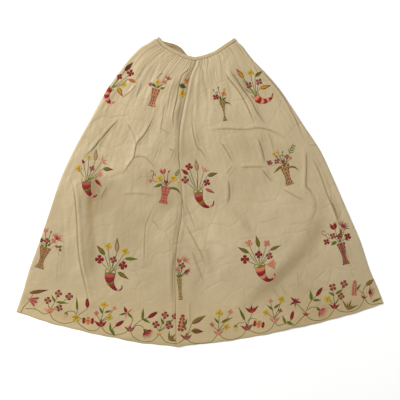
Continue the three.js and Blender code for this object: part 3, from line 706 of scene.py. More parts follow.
def towards(turn: float) -> Array:
    """The direction on the chart that lies so many degrees clockwise from up."""
    return np.array([np.sin(np.radians(turn)), -np.cos(np.radians(turn))])


def unit(rows: Array) -> Array:
    """Directions, each brought to a length of 1."""
    return rows / np.maximum(np.hypot(*rows.T), 1e-9)[:, None]


def left_of(rows: Array) -> Array:
    """Directions a quarter turn to the left of the given ones, where y is up."""
    return np.column_stack([-rows[:, 1], rows[:, 0]])


def run_along(points: Array) -> Array:
    """The distance along a line of points, at each of them."""
    return np.concatenate([[0.0], np.cumsum(np.hypot(*np.diff(points, axis=0).T))])


def bell(value: Array, width: float | Array) -> Array:
    """A bell: 1 where the value is 0, and e to the power of minus its square, in widths, elsewhere."""
    return np.exp(-((value / width) ** 2))


def smooth_step(value: Array) -> Array:
    """Rises from 0 to 1 as the value does, level at both ends."""
    value = np.clip(value, 0.0, 1.0)
    return value * value * (3 - 2 * value)


class Curve:
    """A smooth curve through a table: each span is the cubic with the table's own slopes."""

    def __init__(self, at: Sequence[float], value: Sequence[float]) -> None:
        """Works out the table's slopes, each from its place's two neighbours.

        Args:
            at: where each value holds, rising.
            value: the values, as numbers or as rows.
        """
        self.at = np.asarray(at, dtype=float)
        self.value = np.asarray(value, dtype=float).reshape(len(self.at), -1)
        place = np.arange(len(self.at))
        before, after = np.maximum(place - 1, 0), np.minimum(place + 1, len(self.at) - 1)
        self.slope = (self.value[after] - self.value[before]) / (self.at[after] - self.at[before])[:, None]

    def __call__(self, place: Array) -> Array:
        """The curve at each place, by the cubic of its span.

        Args:
            place: where to read the curve.

        Returns:
            One row for each place.
        """
        place = np.atleast_1d(np.asarray(place, dtype=float))
        i = np.clip(np.searchsorted(self.at, place, side="left") - 1, 0, len(self.at) - 2)
        span = (self.at[i + 1] - self.at[i])[:, None]
        s = np.clip((place[:, None] - self.at[i][:, None]) / span, 0.0, 1.0)
        rest = 1.0 - s
        return (
            self.value[i] * rest * rest * (1 + 2 * s)
            + self.slope[i] * span * s * rest * rest
            + self.value[i + 1] * s * s * (3 - 2 * s)
            - self.slope[i + 1] * span * s * s * rest
        )


def curve_through(points: Sequence[Pair]) -> Line:
    """A smooth plane curve through points.

    Args:
        points: rows of x and y.

    Returns:
        A function from shares of its length to rows of x and y.
    """
    points = np.asarray(points, dtype=float)
    run = run_along(points)
    curve = Curve(run, points)
    return lambda share: curve(np.asarray(share, dtype=float) * run[-1])


def side_curve(side: str) -> Curve:
    """The left, fold or right side of the sections, as a curve read by the share of the way down."""
    places = [(getattr(s, f"{side}_x"), getattr(s, f"{side}_y")) for s in SECTIONS]
    return Curve([s.down for s in SECTIONS], places)


LEFT_SIDE = side_curve("left")
FOLD_LINE = side_curve("fold")
RIGHT_SIDE = side_curve("right")
RISE = Curve([s.down for s in SECTIONS], [s.rise for s in SECTIONS])
FRONT_SEAM_CURVE = curve_through(FRONT_SEAM)


@dataclass(frozen=True)
class Patch:
    """A four-sided patch of cloth between two side curves, a seam at its top and a hem."""

    first: Line
    second: Line
    top: Line
    hem: Line

    def point(self, across: Array, down: Array) -> Array:
        """Blends the sides, the top and the hem, and takes off what they count twice.

        Args:
            across: the share of the way from the first side to the second.
            down: the share of the way from the seam to the hem.

        Returns:
            Rows of x and y, in millimetres.
        """
        a, d = across[:, None], down[:, None]
        ends = [curve(np.array([v])) for curve in (self.first, self.second) for v in (0.0, 1.0)]
        top_line = ends[0] * (1 - a) + ends[2] * a
        hem_line = ends[1] * (1 - a) + ends[3] * a
        sides = self.first(down) * (1 - a) + self.second(down) * a
        return sides + (self.top(across) - top_line) * (1 - d) + (self.hem(across) - hem_line) * d

    def length(self, down: Array) -> Array:
        """The straight distance between the two sides at each share of the way down."""
        return np.hypot(*(self.second(down) - self.first(down)).T)

    def inverse(self, xy: Array) -> tuple[Array, Array]:
        """Finds where places lie on the patch, by Newton's method from the nearest of a coarse grid.

        Args:
            xy: rows of x and y, in millimetres.

        Returns:
            Their shares across and down.
        """
        a, d = (g.ravel() for g in np.meshgrid(np.linspace(-0.1, 1.1, 25), np.linspace(0.0, 1.0, 31)))
        grid = self.point(a, d)
        batches = np.array_split(xy, len(xy) // 4000 + 1)
        near = np.concatenate([np.argmin(((batch[:, None] - grid) ** 2).sum(2), axis=1) for batch in batches])
        across, down = a[near], d[near]
        step, turns = 1e-4, 7
        for _ in range(turns):
            here = self.point(across, down)
            by_a = (self.point(across + step, down) - here) / step
            low, high = np.clip(down - step, 0, 1), np.clip(down + step, 0, 1)
            by_d = (self.point(across, high) - self.point(across, low)) / (high - low)[:, None]
            gap = xy - here
            det = by_a[:, 0] * by_d[:, 1] - by_a[:, 1] * by_d[:, 0]
            across = across + (gap[:, 0] * by_d[:, 1] - gap[:, 1] * by_d[:, 0]) / det
            down = np.clip(down + (by_a[:, 0] * gap[:, 1] - by_a[:, 1] * gap[:, 0]) / det, 0.0, 1.0)
            across = np.clip(across, -0.4, 1.4)
        return across, down


def bowed_hem(first: Curve, second: Curve, bow: float) -> Line:
    """The straight line between two hem corners, bowed down by a parabola.

    Args:
        first: the side curve that holds the first corner.
        second: the side curve that holds the second corner.
        bow: how far the middle bows, in millimetres.

    Returns:
        A function from shares across to rows of x and y.
    """
    start, end = first(np.array([1.0])), second(np.array([1.0]))

    def hem(across: Array) -> Array:
        """The hem at each share across."""
        share = np.asarray(across, dtype=float)[:, None]
        return start * (1 - share) + end * share - np.array([0.0, 4 * bow]) * share * (1 - share)

    return hem


LEFT_PATCH = Patch(
    LEFT_SIDE,
    FOLD_LINE,
    lambda across: FRONT_SEAM_CURVE(across * LAP_SHARE),
    bowed_hem(LEFT_SIDE, FOLD_LINE, HEM_BOW["left"]),
)
RIGHT_PATCH = Patch(
    FOLD_LINE,
    RIGHT_SIDE,
    lambda across: FRONT_SEAM_CURVE(LAP_SHARE + across * (1 - LAP_SHARE)),
    bowed_hem(FOLD_LINE, RIGHT_SIDE, HEM_BOW["right"]),
)


def near_path(xy: Array, path: Sequence[Pair], reach: float) -> tuple[Array, Array, Array]:
    """Measures places from a path on the chart.

    Args:
        xy: rows of x and y.
        path: chart places.
        reach: how far from the path a place may be.

    Returns:
        Which places are in reach, how far off, above 0 on the left, and at what share of the path.
    """
    points = curve_through(chart(path))(np.linspace(0, 1, 6 * len(path)))
    near = np.flatnonzero(((xy > points.min(0) - reach) & (xy < points.max(0) + reach)).all(1))
    start, run = points[:-1], np.diff(points, axis=0)
    place = xy[near]
    along = np.clip(((place[:, None] - start) * run).sum(2) / (run**2).sum(1), 0, 1)
    gap = place[:, None] - (start + along[..., None] * run)
    far = (gap**2).sum(2)
    pick = np.argmin(far, axis=1)
    rows = np.arange(len(near))
    side = np.sign(run[pick, 0] * gap[rows, pick, 1] - run[pick, 1] * gap[rows, pick, 0])
    return near, np.sqrt(far[rows, pick]) * side, (pick + along[rows, pick]) / len(run)


def crease_relief(xy: Array, creases: Sequence[Crease] = CREASES) -> tuple[Array, Array]:
    """What the creases add: for each, a bell trough on its path, raised shoulders, and a bell ridge beside it.

    All fade in over the first 0.22 of the path and out over the last 0.28. Narrow ones also lay a brown line along the
    trough, partly soil and partly painted shade.

    Args:
        xy: rows of x and y, in millimetres.
        creases: the creases to add.

    Returns:
        The added height at each place, in millimetres, and the soil and painted shade, from 0.
    """
    height, soil_and_shade = np.zeros(len(xy)), np.zeros(len(xy))
    for crease in creases:
        wide = abs(crease.spread)
        near, distance, share = near_path(xy, crease.path, 2.6 * max(crease.width, wide * 1.4))
        fade = smooth_step(share / 0.22) * smooth_step((1 - share) / 0.28)
        sharp = 0.7 * crease.width
        trough = 0.9 * bell(distance, 3.0 * sharp) - 1.5 * bell(distance, sharp)
        ridge = bell(distance - crease.spread, wide * 0.85)
        height[near] += fade * (CREASE_GAIN * crease.lift * ridge + crease.depth * trough)
        # Narrow creases lay a brown line along the trough: partly soil in the fold, partly painted shade.
        if crease.width < WIDE_CREASE:
            soil_and_shade[near] += fade * min(1.25, 0.85 * crease.depth) * bell(distance, CREASE_SOIL_AND_SHADE_WIDTH)
    return height, soil_and_shade


def tone_shade_light_and_soil(xy: Array, tones: Sequence[Tone] = TONES) -> Array:
    """The painted shade, partly soil, and the painted light of the broad patches: for each, a bell across its path
    that fades at its ends.

    Args:
        xy: rows of x and y.
        tones: the patches.

    Returns:
        The painted shade and soil at each place, below 0 where light is painted.
    """
    soil_and_shade = np.zeros(len(xy))
    for tone in tones:
        near, distance, share = near_path(xy, tone.path, 2.4 * tone.width)
        fade = 0.35 + 0.65 * smooth_step(share / 0.2) * smooth_step((1 - share) / 0.2)
        soil_and_shade[near] += tone.amount * fade * bell(distance, tone.width)
    return soil_and_shade


@dataclass(frozen=True)
class Ripple:
    """The small unevenness of silk: many plane waves of seeded lengths, directions and phases."""

    seed: int
    waves: int
    shortest: float
    longest: float
    height: float
    turn: float

    def wave(self, along: Array, down: Array) -> Array:
        """Adds the waves, each as high as it is long, with ridges that mostly run down the cloth.

        Args:
            along: millimetres along the weft.
            down: millimetres along the warp.

        Returns:
            The height at each place.
        """
        rng = np.random.default_rng(self.seed)
        length = self.shortest * (self.longest / self.shortest) ** rng.random(self.waves)
        angle = rng.normal(0.0, self.turn, self.waves)
        phase = rng.uniform(0, 2 * np.pi, self.waves)
        size = self.height * (length / self.longest) * np.sqrt(2 / self.waves)
        total = np.zeros(len(along))
        for k in range(self.waves):
            turn = 2 * np.pi / length[k]
            total += size[k] * np.cos(turn * (np.cos(angle[k]) * along + np.sin(angle[k]) * down) + phase[k])
        return total


@dataclass(frozen=True)
class Gathers:
    """Uneven gathers under the band: each is a narrow trough that dies away at its own distance down."""

    seed: int
    count: int
    height: float
    width: float = 0.17
    shortest: float = 0.05
    longest: float = 0.30

    def wave(self, across: Array, down: Array) -> Array:
        """Adds, for each gather, a narrow bell trough with a rounder and wider ridge on its right.

        Args:
            across: shares across the cloth.
            down: shares of the way down.

        Returns:
            The height at each place.
        """
        rng = np.random.default_rng(self.seed)
        place = (np.arange(self.count) + 0.5 + rng.uniform(-0.3, 0.3, self.count)) / self.count
        size = self.height * rng.uniform(0.15, 1.3, self.count)
        reach = self.shortest + (self.longest - self.shortest) * rng.random(self.count) ** 1.8
        drift = rng.uniform(-0.14, 0.14, self.count)
        width = self.width * rng.uniform(0.75, 1.3, self.count) / self.count
        total = np.zeros(len(across))
        for k in range(self.count):
            wide = width[k] * (1 + 0.8 * down)
            aside = across - place[k] - drift[k] * down
            fold = 0.55 * bell(aside - 1.9 * wide, 1.6 * wide) - bell(aside, wide)
            total += size[k] * np.exp(-((down / reach[k]) ** 1.4)) * fold
        return total


def squares(index: Array) -> Array:
    """The quads of a grid of point numbers: they face up where rows run down and columns to the right."""
    return np.stack([index[:-1, :-1], index[1:, :-1], index[1:, 1:], index[:-1, 1:]], -1).reshape(-1, 4)


def cloth_shell(face: Array, thickness: float, step: int) -> tuple[Array, list[list[int]]]:
    """A closed sheet: its face, a coarser underside, and a rim that joins them.

    Each point of the underside lies under the lowest of the face's points out to its neighbours, so
    it comes through nowhere.

    Args:
        face: rows by columns by 3, one more than a multiple of the step both ways.
        thickness: how far the underside lies below the face.
        step: how many of the face's squares one of the underside's covers each way.

    Returns:
        The points as rows, and the faces as lists of indices.
    """
    rows, columns = face.shape[:2]
    low = np.pad(face[..., 2], step, mode="edge")
    low = np.lib.stride_tricks.sliding_window_view(low, (2 * step + 1, 2 * step + 1))[::step, ::step].min((2, 3))
    under = face[::step, ::step].copy()
    under[..., 2] = np.maximum(low - thickness, LEAST_HEIGHT)
    index = np.arange(rows * columns).reshape(rows, columns)
    coarse = rows * columns + np.arange(under[..., 0].size).reshape(under.shape[:2])
    rim = []
    for side in (np.s_[:, 0], np.s_[-1], np.s_[::-1, -1], np.s_[0, ::-1]):
        fine, wide = index[side].tolist(), coarse[side].tolist()
        for k in range(len(wide) - 1):
            rim.append([*fine[k * step : (k + 1) * step + 1][::-1], *wide[k : k + 2]])
    points = np.concatenate([face.reshape(-1, 3), under.reshape(-1, 3)])
    return points, [*squares(index).tolist(), *squares(coarse)[:, (0, 3, 2, 1)].tolist(), *rim]


def shell(face: Array, under: Array) -> tuple[Array, Array]:
    """A closed wall between two grids of points.

    Args:
        face: rows by columns by 3, with rows running down and columns to the right.
        under: the same grid for the underside.

    Returns:
        The points, and quads that face outwards.
    """
    rows, columns = face.shape[:2]
    index = np.arange(rows * columns).reshape(rows, columns)
    top, below = squares(index), rows * columns
    ring = np.concatenate([index[:-1, 0], index[-1, :-1], index[:0:-1, -1], index[0, :0:-1]])
    after = np.roll(ring, -1)
    rim = np.stack([ring, ring + below, after + below, after], -1)
    points = np.concatenate([face.reshape(-1, 3), under.reshape(-1, 3)])
    return points, np.concatenate([top, (top + below)[:, ::-1], rim])


def linked(name: str, data: bpy.types.ID) -> Object:
    """A new object at the origin, in the scene.

    Args:
        name: its name.
        data: its mesh, lamp or camera.

    Returns:
        The object.
    """
    piece = bpy.data.objects.new(name, data)
    bpy.context.scene.collection.objects.link(piece)
    return piece


def mesh_object(
    name: str,
    points: Array,
    faces: Array | list[list[int]],
    material: Material,
    uv: Array | None = None,
    colours: Array | None = None,
) -> Object:
    """Makes an object at the origin from points and faces.

    Args:
        name: the object's and the mesh's name.
        points: rows of x, y and z, in millimetres.
        faces: rows of three or four point indices.
        material: the material of every face.
        uv: a map place for each point, in metres along and down the cloth.
        colours: a linear colour for each point, kept as the attribute named thread.

    Returns:
        The new object, linked to the scene.
    """
    mesh = bpy.data.meshes.new(name)
    mesh.from_pydata((np.asarray(points) * METRES).tolist(), [], faces if isinstance(faces, list) else faces.tolist())
    mesh.materials.append(material)
    mesh.polygons.foreach_set("use_smooth", np.ones(len(mesh.polygons), dtype=bool))
    corners = np.empty(len(mesh.loops), dtype=np.int64)
    mesh.loops.foreach_get("vertex_index", corners)
    if uv is not None:
        mesh.uv_layers.new(name="cloth").data.foreach_set("uv", np.asarray(uv, dtype=np.float32)[corners].ravel())
    if colours is not None:
        layer = mesh.color_attributes.new(name="thread", type="FLOAT_COLOR", domain="POINT")
        layer.data.foreach_set("color", np.asarray(colours, dtype=np.float32).ravel())
    mesh.update()
    return linked(name, mesh)


class Nodes:
    """A small hand for building one material's nodes."""

    def __init__(self, name: str) -> None:
        """Makes the material with only its surface shader and output.

        Args:
            name: the material's name.
        """
        self.material = bpy.data.materials.new(name)
        self.material.use_nodes = True
        self.tree = self.material.node_tree
        self.tree.nodes.clear()
        self.surface = self.tree.nodes.new("ShaderNodeBsdfPrincipled")
        output = self.tree.nodes.new("ShaderNodeOutputMaterial")
        self.tree.links.new(self.surface.outputs["BSDF"], output.inputs["Surface"])

    def add(self, kind: str, inputs: dict | None = None, **settings) -> bpy.types.Node:
        """Adds a node, sets its properties, and fills or links its inputs.

        Args:
            kind: the node's type, without ShaderNode.
            inputs: values or output sockets, by input name or number.
            **settings: the node's own properties.

        Returns:
            The new node.
        """
        node = self.tree.nodes.new(f"ShaderNode{kind}")
        for key, value in settings.items():
            setattr(node, key, value)
        for key, value in (inputs or {}).items():
            self.fill(node.inputs[key], value)
        return node

    def fill(self, socket: Socket, value: object) -> None:
        """Links an input to an output socket, or sets its value.

        Args:
            socket: the input.
            value: a socket, a number, or a colour with or without its fourth value.
        """
        if isinstance(value, Socket):
            self.tree.links.new(value, socket)
        elif isinstance(value, tuple) and len(value) == 3 and socket.type == "RGBA":
            socket.default_value = (*value, 1.0)
        else:
            socket.default_value = value

    def set(self, **values: object) -> None:
        """Sets or links the surface shader's inputs, with underscores for the spaces in their names."""
        for key, value in values.items():
            self.fill(self.surface.inputs[key.replace("_", " ")], value)

    def noise(self, vector: object, scale: float, detail: float, output: str = "Fac", **more: float) -> Socket:
        """Adds noise, with more of its inputs by name, and gives one of its outputs."""
        return self.add("TexNoise", {"Vector": vector, "Scale": scale, "Detail": detail, **more}).outputs[output]

    def remap(self, value: Socket, source: Pair, target: Pair, **settings) -> Socket:
        """Maps a range of a value onto another range."""
        inputs = dict(enumerate((value, *source, *target)))
        return self.add("MapRange", inputs, **settings).outputs[0]

    def maths(self, operation: str, first: object, second: object, kind: str = "Math") -> Socket:
        """Works out one sum of two values."""
        return self.add(kind, {0: first, 1: second}, operation=operation).outputs[0]

    def scaled(self, vector: Socket, x: float, y: float) -> Socket:
        """A map stretched by its own amount each way."""
        return self.add("Mapping", {"Vector": vector, "Scale": (x, y, 1.0)}).outputs["Vector"]

    def shaded(self, colour: Socket, shade: Socket) -> Socket:
        """A colour made lighter or darker by a factor."""
        return self.mix(1.0, colour, self.add("CombineXYZ", dict.fromkeys("XYZ", shade)).outputs[0], "MULTIPLY")

    def bump(
        self, height: Socket, strength: float, distance: float, under: Socket | None = None, **settings
    ) -> Socket:
        """Adds a bump, on another where one is given."""
        inputs = {"Height": height, "Strength": strength, "Distance": distance}
        return self.add("Bump", inputs | ({"Normal": under} if under else {}), **settings).outputs[0]

    def ramp(self, factor: Socket, start: float, first: Colour, end: float, last: Colour) -> Socket:
        """Adds a ramp between two colours.

        Args:
            factor: what the ramp reads.
            start: where the first colour ends.
            first: a linear colour.
            end: where the last colour starts.
            last: a linear colour.

        Returns:
            The ramp's colour.
        """
        node = self.add("ValToRGB", {"Fac": factor})
        for element, place, colour in zip(node.color_ramp.elements, (start, end), (first, last)):
            element.position, element.color = place, (*colour, 1.0)
        return node.outputs["Color"]

    def mix(self, factor: object, first: object, second: object, blend: str = "MIX") -> Socket:
        """Mixes two colours.

        Args:
            factor: a number or a socket.
            first: the colour where the factor is 0.
            second: the colour where it is 1.
            blend: how they are mixed.

        Returns:
            The mixed colour.
        """
        node = self.add("Mix", data_type="RGBA", blend_type=blend)
        for key, value in (("Factor", factor), (6, first), (7, second)):
            self.fill(node.inputs[key], value)
        return node.outputs[2]


def linear(red: float, green: float, blue: float) -> Colour:
    """Turns a screen colour of 0 to 255 into a linear one."""
    values = (np.array([red, green, blue]) / 255.0).tolist()
    return tuple(v / 12.92 if v <= 0.04045 else ((v + 0.055) / 1.055) ** 2.4 for v in values)


def soil_and_shade_tint(soil_and_shade: Array) -> Array:
    """The tint for so much soil and painted shade, from white at 0 to a warm brown at 1, as rows of four; below 0 it
    is lighter, as painted light.
    """
    return np.column_stack([1 - soil_and_shade[:, None] * SOIL_AND_SHADE_BROWN, np.ones(len(soil_and_shade))])


@dataclass(frozen=True)
class SilkFinish:
    """Plain-woven silk: soft sheen, fine slubs, crinkle, and the uneven yellowing of age."""

    name: str
    pale: Colour
    deep: Colour
    aged: Colour
    stain_and_crease_shade: Colour
    roughness: float = 0.58
    sheen: float = 0.12
    crinkle: float = 0.45

    def build(self) -> Material:
        """Builds the material on the cloth's own map, whose units are metres.

        Returns:
            The material.
        """
        n = Nodes(self.name)
        cloth = n.add("UVMap", uv_map="cloth").outputs["UV"]
        place = n.add("TexCoord").outputs["Object"]
        broad = n.noise(place, 3.2, 3.0, Roughness=0.55)
        colour = n.ramp(broad, 0.36, self.deep, 0.64, self.pale)
        spots = n.remap(n.noise(place, 9.0, 4.0, Roughness=0.6), (0.56, 0.72), (0.0, 0.34))
        colour = n.mix(spots, colour, self.stain_and_crease_shade)
        down = n.add("SeparateXYZ", {"Vector": cloth}).outputs["Y"]
        colour = n.mix(n.remap(down, (0.76, 0.96), (0.0, 0.55)), colour, self.aged)
        weft = n.noise(n.scaled(cloth, 26.0, 900.0), 1.0, 2.0)
        warp = n.noise(n.scaled(cloth, 850.0, 20.0), 1.0, 2.0)
        slubs = n.maths("ADD", weft, warp)
        bent = n.add("VectorMath", {0: n.noise(place, 6.0, 2.0, "Color"), "Scale": 0.09}, operation="SCALE").outputs[0]
        bent = n.maths("ADD", bent, place, "VectorMath")
        far = n.add("TexVoronoi", {"Vector": bent, "Scale": 15.0}, feature="DISTANCE_TO_EDGE").outputs["Distance"]
        line = n.remap(far, (0.0, 0.11), (1.0, 0.0), interpolation_type="SMOOTHSTEP")
        line = n.maths("MULTIPLY", line, n.remap(broad, (0.42, 0.6), (0.0, 1.0)))
        # The crinkle lines are tinted towards the stain colour: partly soil, partly painted shade in their troughs.
        colour = n.mix(n.maths("MULTIPLY", line, 0.1), colour, self.stain_and_crease_shade)
        colour = n.shaded(colour, n.remap(slubs, (0.7, 1.3), (0.955, 1.045)))
        # Multiplies in each point's tint: soil and painted shade, and painted light where the tint is above 1.
        colour = n.mix(1.0, colour, n.add("Attribute", attribute_name="thread").outputs["Color"], "MULTIPLY")
        fine = n.noise(place, 130.0, 4.0, Roughness=0.6)
        wave = n.noise(place, 42.0, 3.0, Distortion=0.6)
        bump = n.bump(slubs, 0.25, 0.0001)
        bump = n.bump(fine, self.crinkle, 0.0006, bump)
        bump = n.bump(wave, self.crinkle, 0.0022, bump)
        bump = n.bump(line, 0.5, 0.0016, bump, invert=True)
        n.set(Base_Color=colour, Roughness=self.roughness, Normal=bump, Sheen_Weight=self.sheen)
        n.set(Sheen_Roughness=0.45, Specular_IOR_Level=0.32)
        return n.material


@dataclass(frozen=True)
class ThreadFinish:
    """Floss silk in satin stitch: each patch's own colour, with fine lines along its stitches painted lighter and
    darker as a painted sheen.
    """

    name: str = "floss_silk"
    roughness: float = 0.6
    sheen: float = 0.03

    def build(self) -> Material:
        """Builds the material on the threads' colours and on their map, whose units are metres.

        Returns:
            The material.
        """
        n = Nodes(self.name)
        silk = n.add("Attribute", attribute_name="thread").outputs["Color"]
        lay = n.add("UVMap", uv_map="cloth").outputs["UV"]
        strands = n.noise(n.scaled(lay, 240.0, 2600.0), 1.0, 2.0)
        wear = n.noise(n.add("TexCoord").outputs["Object"], 70.0, 3.0)
        worn = n.remap(wear, (0.35, 0.7), (0.9, 1.14))
        # Painted sheen: the strands make the colour lighter and darker along the stitches; the wear noise is the
        # silk's own.
        colour = n.shaded(silk, n.maths("MULTIPLY", n.remap(strands, (0.34, 0.66), (0.8, 1.2)), worn))
        n.set(Base_Color=colour, Roughness=self.roughness, Normal=n.bump(strands, 0.5, 0.0002))
        n.set(Sheen_Weight=self.sheen, Sheen_Roughness=0.4, Specular_IOR_Level=0.2)
        return n.material


@dataclass(frozen=True)
class FloorFinish:
    """A plain pale table top."""

    name: str = "pale_table"

    def build(self) -> Material:
        """Builds the material: nearly white, with the faintest unevenness.

        Returns:
            The material.
        """
        n = Nodes(self.name)
        noise = n.noise(n.add("TexCoord").outputs["Object"], 2.0, 2.0)
        colour = n.ramp(noise, 0.3, (0.93, 0.93, 0.925), 0.7, (0.95, 0.95, 0.945))
        n.set(Base_Color=colour, Roughness=0.8, Specular_IOR_Level=0.1)
        return n.material


SILK = SilkFinish(
    "cream_silk", linear(175, 158, 125), linear(165, 148, 115), linear(178, 155, 108), linear(157, 139, 104)
)
# The inner face is pinker than the front, and darker as painted shade for the mouth of the waist, where it shows.
INNER_SILK = SilkFinish(
    "silk_inside", linear(162, 140, 113), linear(150, 127, 100), linear(166, 148, 112), linear(136, 112, 88)
)
BAND_SILK = SilkFinish(
    "band_silk", linear(172, 154, 119), linear(163, 145, 109), linear(164, 146, 110), linear(154, 135, 100)
)


def quarter_round(share: Array) -> Array:
    """Rises from 0 to 1 as a quarter of a circle does."""
    return np.sqrt(1 - (1 - np.clip(share, 0, 1)) ** 2)


def hem_waver(x: Array, down: Array) -> Array:
    """The hem's small unevenness: three waves of unlike lengths, which fade in over its last 15 mm."""
    wave = 0.8 * np.sin(x / 23.0 + 1.0) + 0.6 * np.sin(x / 9.3) + 0.7 * np.sin(x / 51.0 + 2.0)
    return wave * smooth_step((down - 0.984) / 0.016)


@dataclass
class FrontWidth:
    """One of the two lengths of silk in the front, gathered at its top."""

    name: str
    node: str
    lap: Lap
    patch: Patch
    gathers: tuple[Gathers, ...]
    ripples: tuple[Ripple, ...]
    squares_across: int = 260
    squares_down: int = 344
    coarse_step: int = 4
    thickness: float = 0.6
    lap_under: float = 9.0
    lap_reach: float = 16.0
    lap_dip: float = 1.0
    lap_hollow: float = 1.9

    def relief(self, xy: Array, across: Array, down: Array) -> tuple[Array, Array]:
        """The height of the cloth's face, and the soil and painted shade of its folds, with painted light where that
        is below 0.

        The section's rise, the gathers, the ripples and the creases are added. Towards the lap that
        gives way to the lap's own level, and at the side and the hem it rolls down as a quarter round.

        Args:
            xy: rows of x and y, in millimetres.
            across: shares across the patch.
            down: shares down the patch.

        Returns:
            The height at each place, in millimetres, and the soil and painted shade from 0 to 1, below 0 where light
            is painted.
        """
        length = self.patch.length(down)
        rise = RISE(down)[:, 0]
        hem_width = self.patch.length(np.array([1.0]))[0]
        gathers = sum(g.wave(across, down) for g in self.gathers)
        height = rise + gathers
        height += smooth_step(down / 0.1) * sum(r.wave(across * hem_width, down * LENGTH) for r in self.ripples)
        creases, soil_and_shade = crease_relief(xy)
        height += creases
        # Painted shade in the gathers' troughs under the band, and the broad patches of painted shade and light,
        # partly soil.
        soil_and_shade += 0.8 * np.clip(-gathers / 1.1, 0, 1) * smooth_step(down / 0.012) + tone_shade_light_and_soil(xy)
        strong = np.clip(1 - smooth_step((down - 0.28) / 0.1) * 0.75 + 0.6 * bell(down - 0.6, 0.09), 0, 1)
        if self.lap is Lap.UNDER:
            side, lap = across * length, (1 - across) * length
            near = bell(np.maximum(lap, 0), 0.6 * self.lap_reach)
            level = np.maximum(LOWEST_FACE, rise - self.lap_hollow)
            height = height + 1.6 * strong * bell(lap - 17, 7)
            lift, line = 0.0, bell(lap, 4.6)
        else:
            side, lap = (1 - across) * length, across * length
            near = bell(np.maximum(lap - self.lap_under - 2, 0), self.lap_reach)
            level = np.maximum(LOWEST_FACE, rise - self.lap_dip) + LAP_LIFT + 0.35 * (height - rise)
            level = level - 1.5 * (1 - np.clip(lap / 2.2, 0, 1)) ** 2 + 2.4 * strong * bell(lap - 8, 6)
            lift, line = LAP_LIFT, bell(lap, 1.6)
        height = height * (1 - near) + level * near
        floor, sharp = LOWEST_FACE - 0.2, 2.2
        height = floor + np.log1p(np.exp((height - floor) * sharp)) / sharp
        roll = quarter_round(side / SIDE_ROLL) * quarter_round((1 - down) * LENGTH / HEM_ROLL)
        foot = 0.7 + near * lift
        # A painted shadow along the lap's groove, strongest in the upper part and again about 0.6 of the way down.
        soil_and_shade = np.clip(soil_and_shade + 0.9 * (line * (0.1 + 0.9 * strong)), -0.5, 1.4)
        return foot + (height - foot) * roll, soil_and_shade

    def shares(self) -> tuple[Array, Array]:
        """The grid's shares, closer together at the roll, the lap, the band and the hem.

        Returns:
            Shares across and down, as grids of rows by columns.
        """
        rows = np.linspace(0, 1, self.squares_down - 6) ** 1.1 * (1 - HEM_ROLL / LENGTH)
        rows = np.concatenate([rows, 1 - np.array([7.0, 5.2, 3.6, 2.3, 1.2, 0.4, 0.0]) / LENGTH])
        length = self.patch.length(rows)[:, None]
        edge = np.array([0.0, 0.4, 1.2, 2.3, 3.6, 5.2])[None] / length
        middle = np.linspace(0, 1, self.squares_across - (5 if self.lap is Lap.UNDER else 9))[None]
        if self.lap is Lap.UNDER:
            first = SIDE_ROLL / length
            across = np.concatenate([edge, first + (1 - first) * middle], 1)
        else:
            lip = np.array([0.0, 0.5, 1.2, 2.2])[None] / length
            first, last = 4.0 / length, 1 - SIDE_ROLL / length
            across = np.concatenate([lip, first + (last - first) * middle, 1 - edge[:, ::-1]], 1)
        return across, np.repeat(rows[:, None], across.shape[1], 1)

    def build(self, finish: Material) -> Object:
        """Makes the width as a thin closed shell.

        Args:
            finish: the silk.

        Returns:
            The piece.
        """
        across, down = self.shares()
        xy = self.patch.point(across.ravel(), down.ravel())
        z, soil_and_shade = self.relief(xy, across.ravel(), down.ravel())
        xy[:, 1] += hem_waver(xy[:, 0], down.ravel())
        if self.lap is Lap.UNDER:
            beside = across.ravel() * self.patch.length(down.ravel())
            xy[:, 1] += 6.0 * np.exp(-((beside / 14) ** 2 + (down.ravel() * LENGTH / 12) ** 2))
        face = np.column_stack([xy, z]).reshape(*across.shape, 3)
        step = self.coarse_step
        points, faces = cloth_shell(face, self.thickness, step)
        hem_width = self.patch.length(np.array([1.0]))[0] * METRES
        uv = np.stack([across * hem_width, down * LENGTH * METRES], -1)
        tint = soil_and_shade_tint(soil_and_shade.ravel()).reshape(*across.shape, 4)
        uv, tint = (
            np.concatenate([part.reshape(-1, part.shape[-1]) for part in (grid, grid[::step, ::step])])
            for grid in (uv, tint)
        )
        piece = mesh_object(self.name, points, faces, finish, uv, tint)
        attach(piece, "root")
        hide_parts(self.node)
        return piece


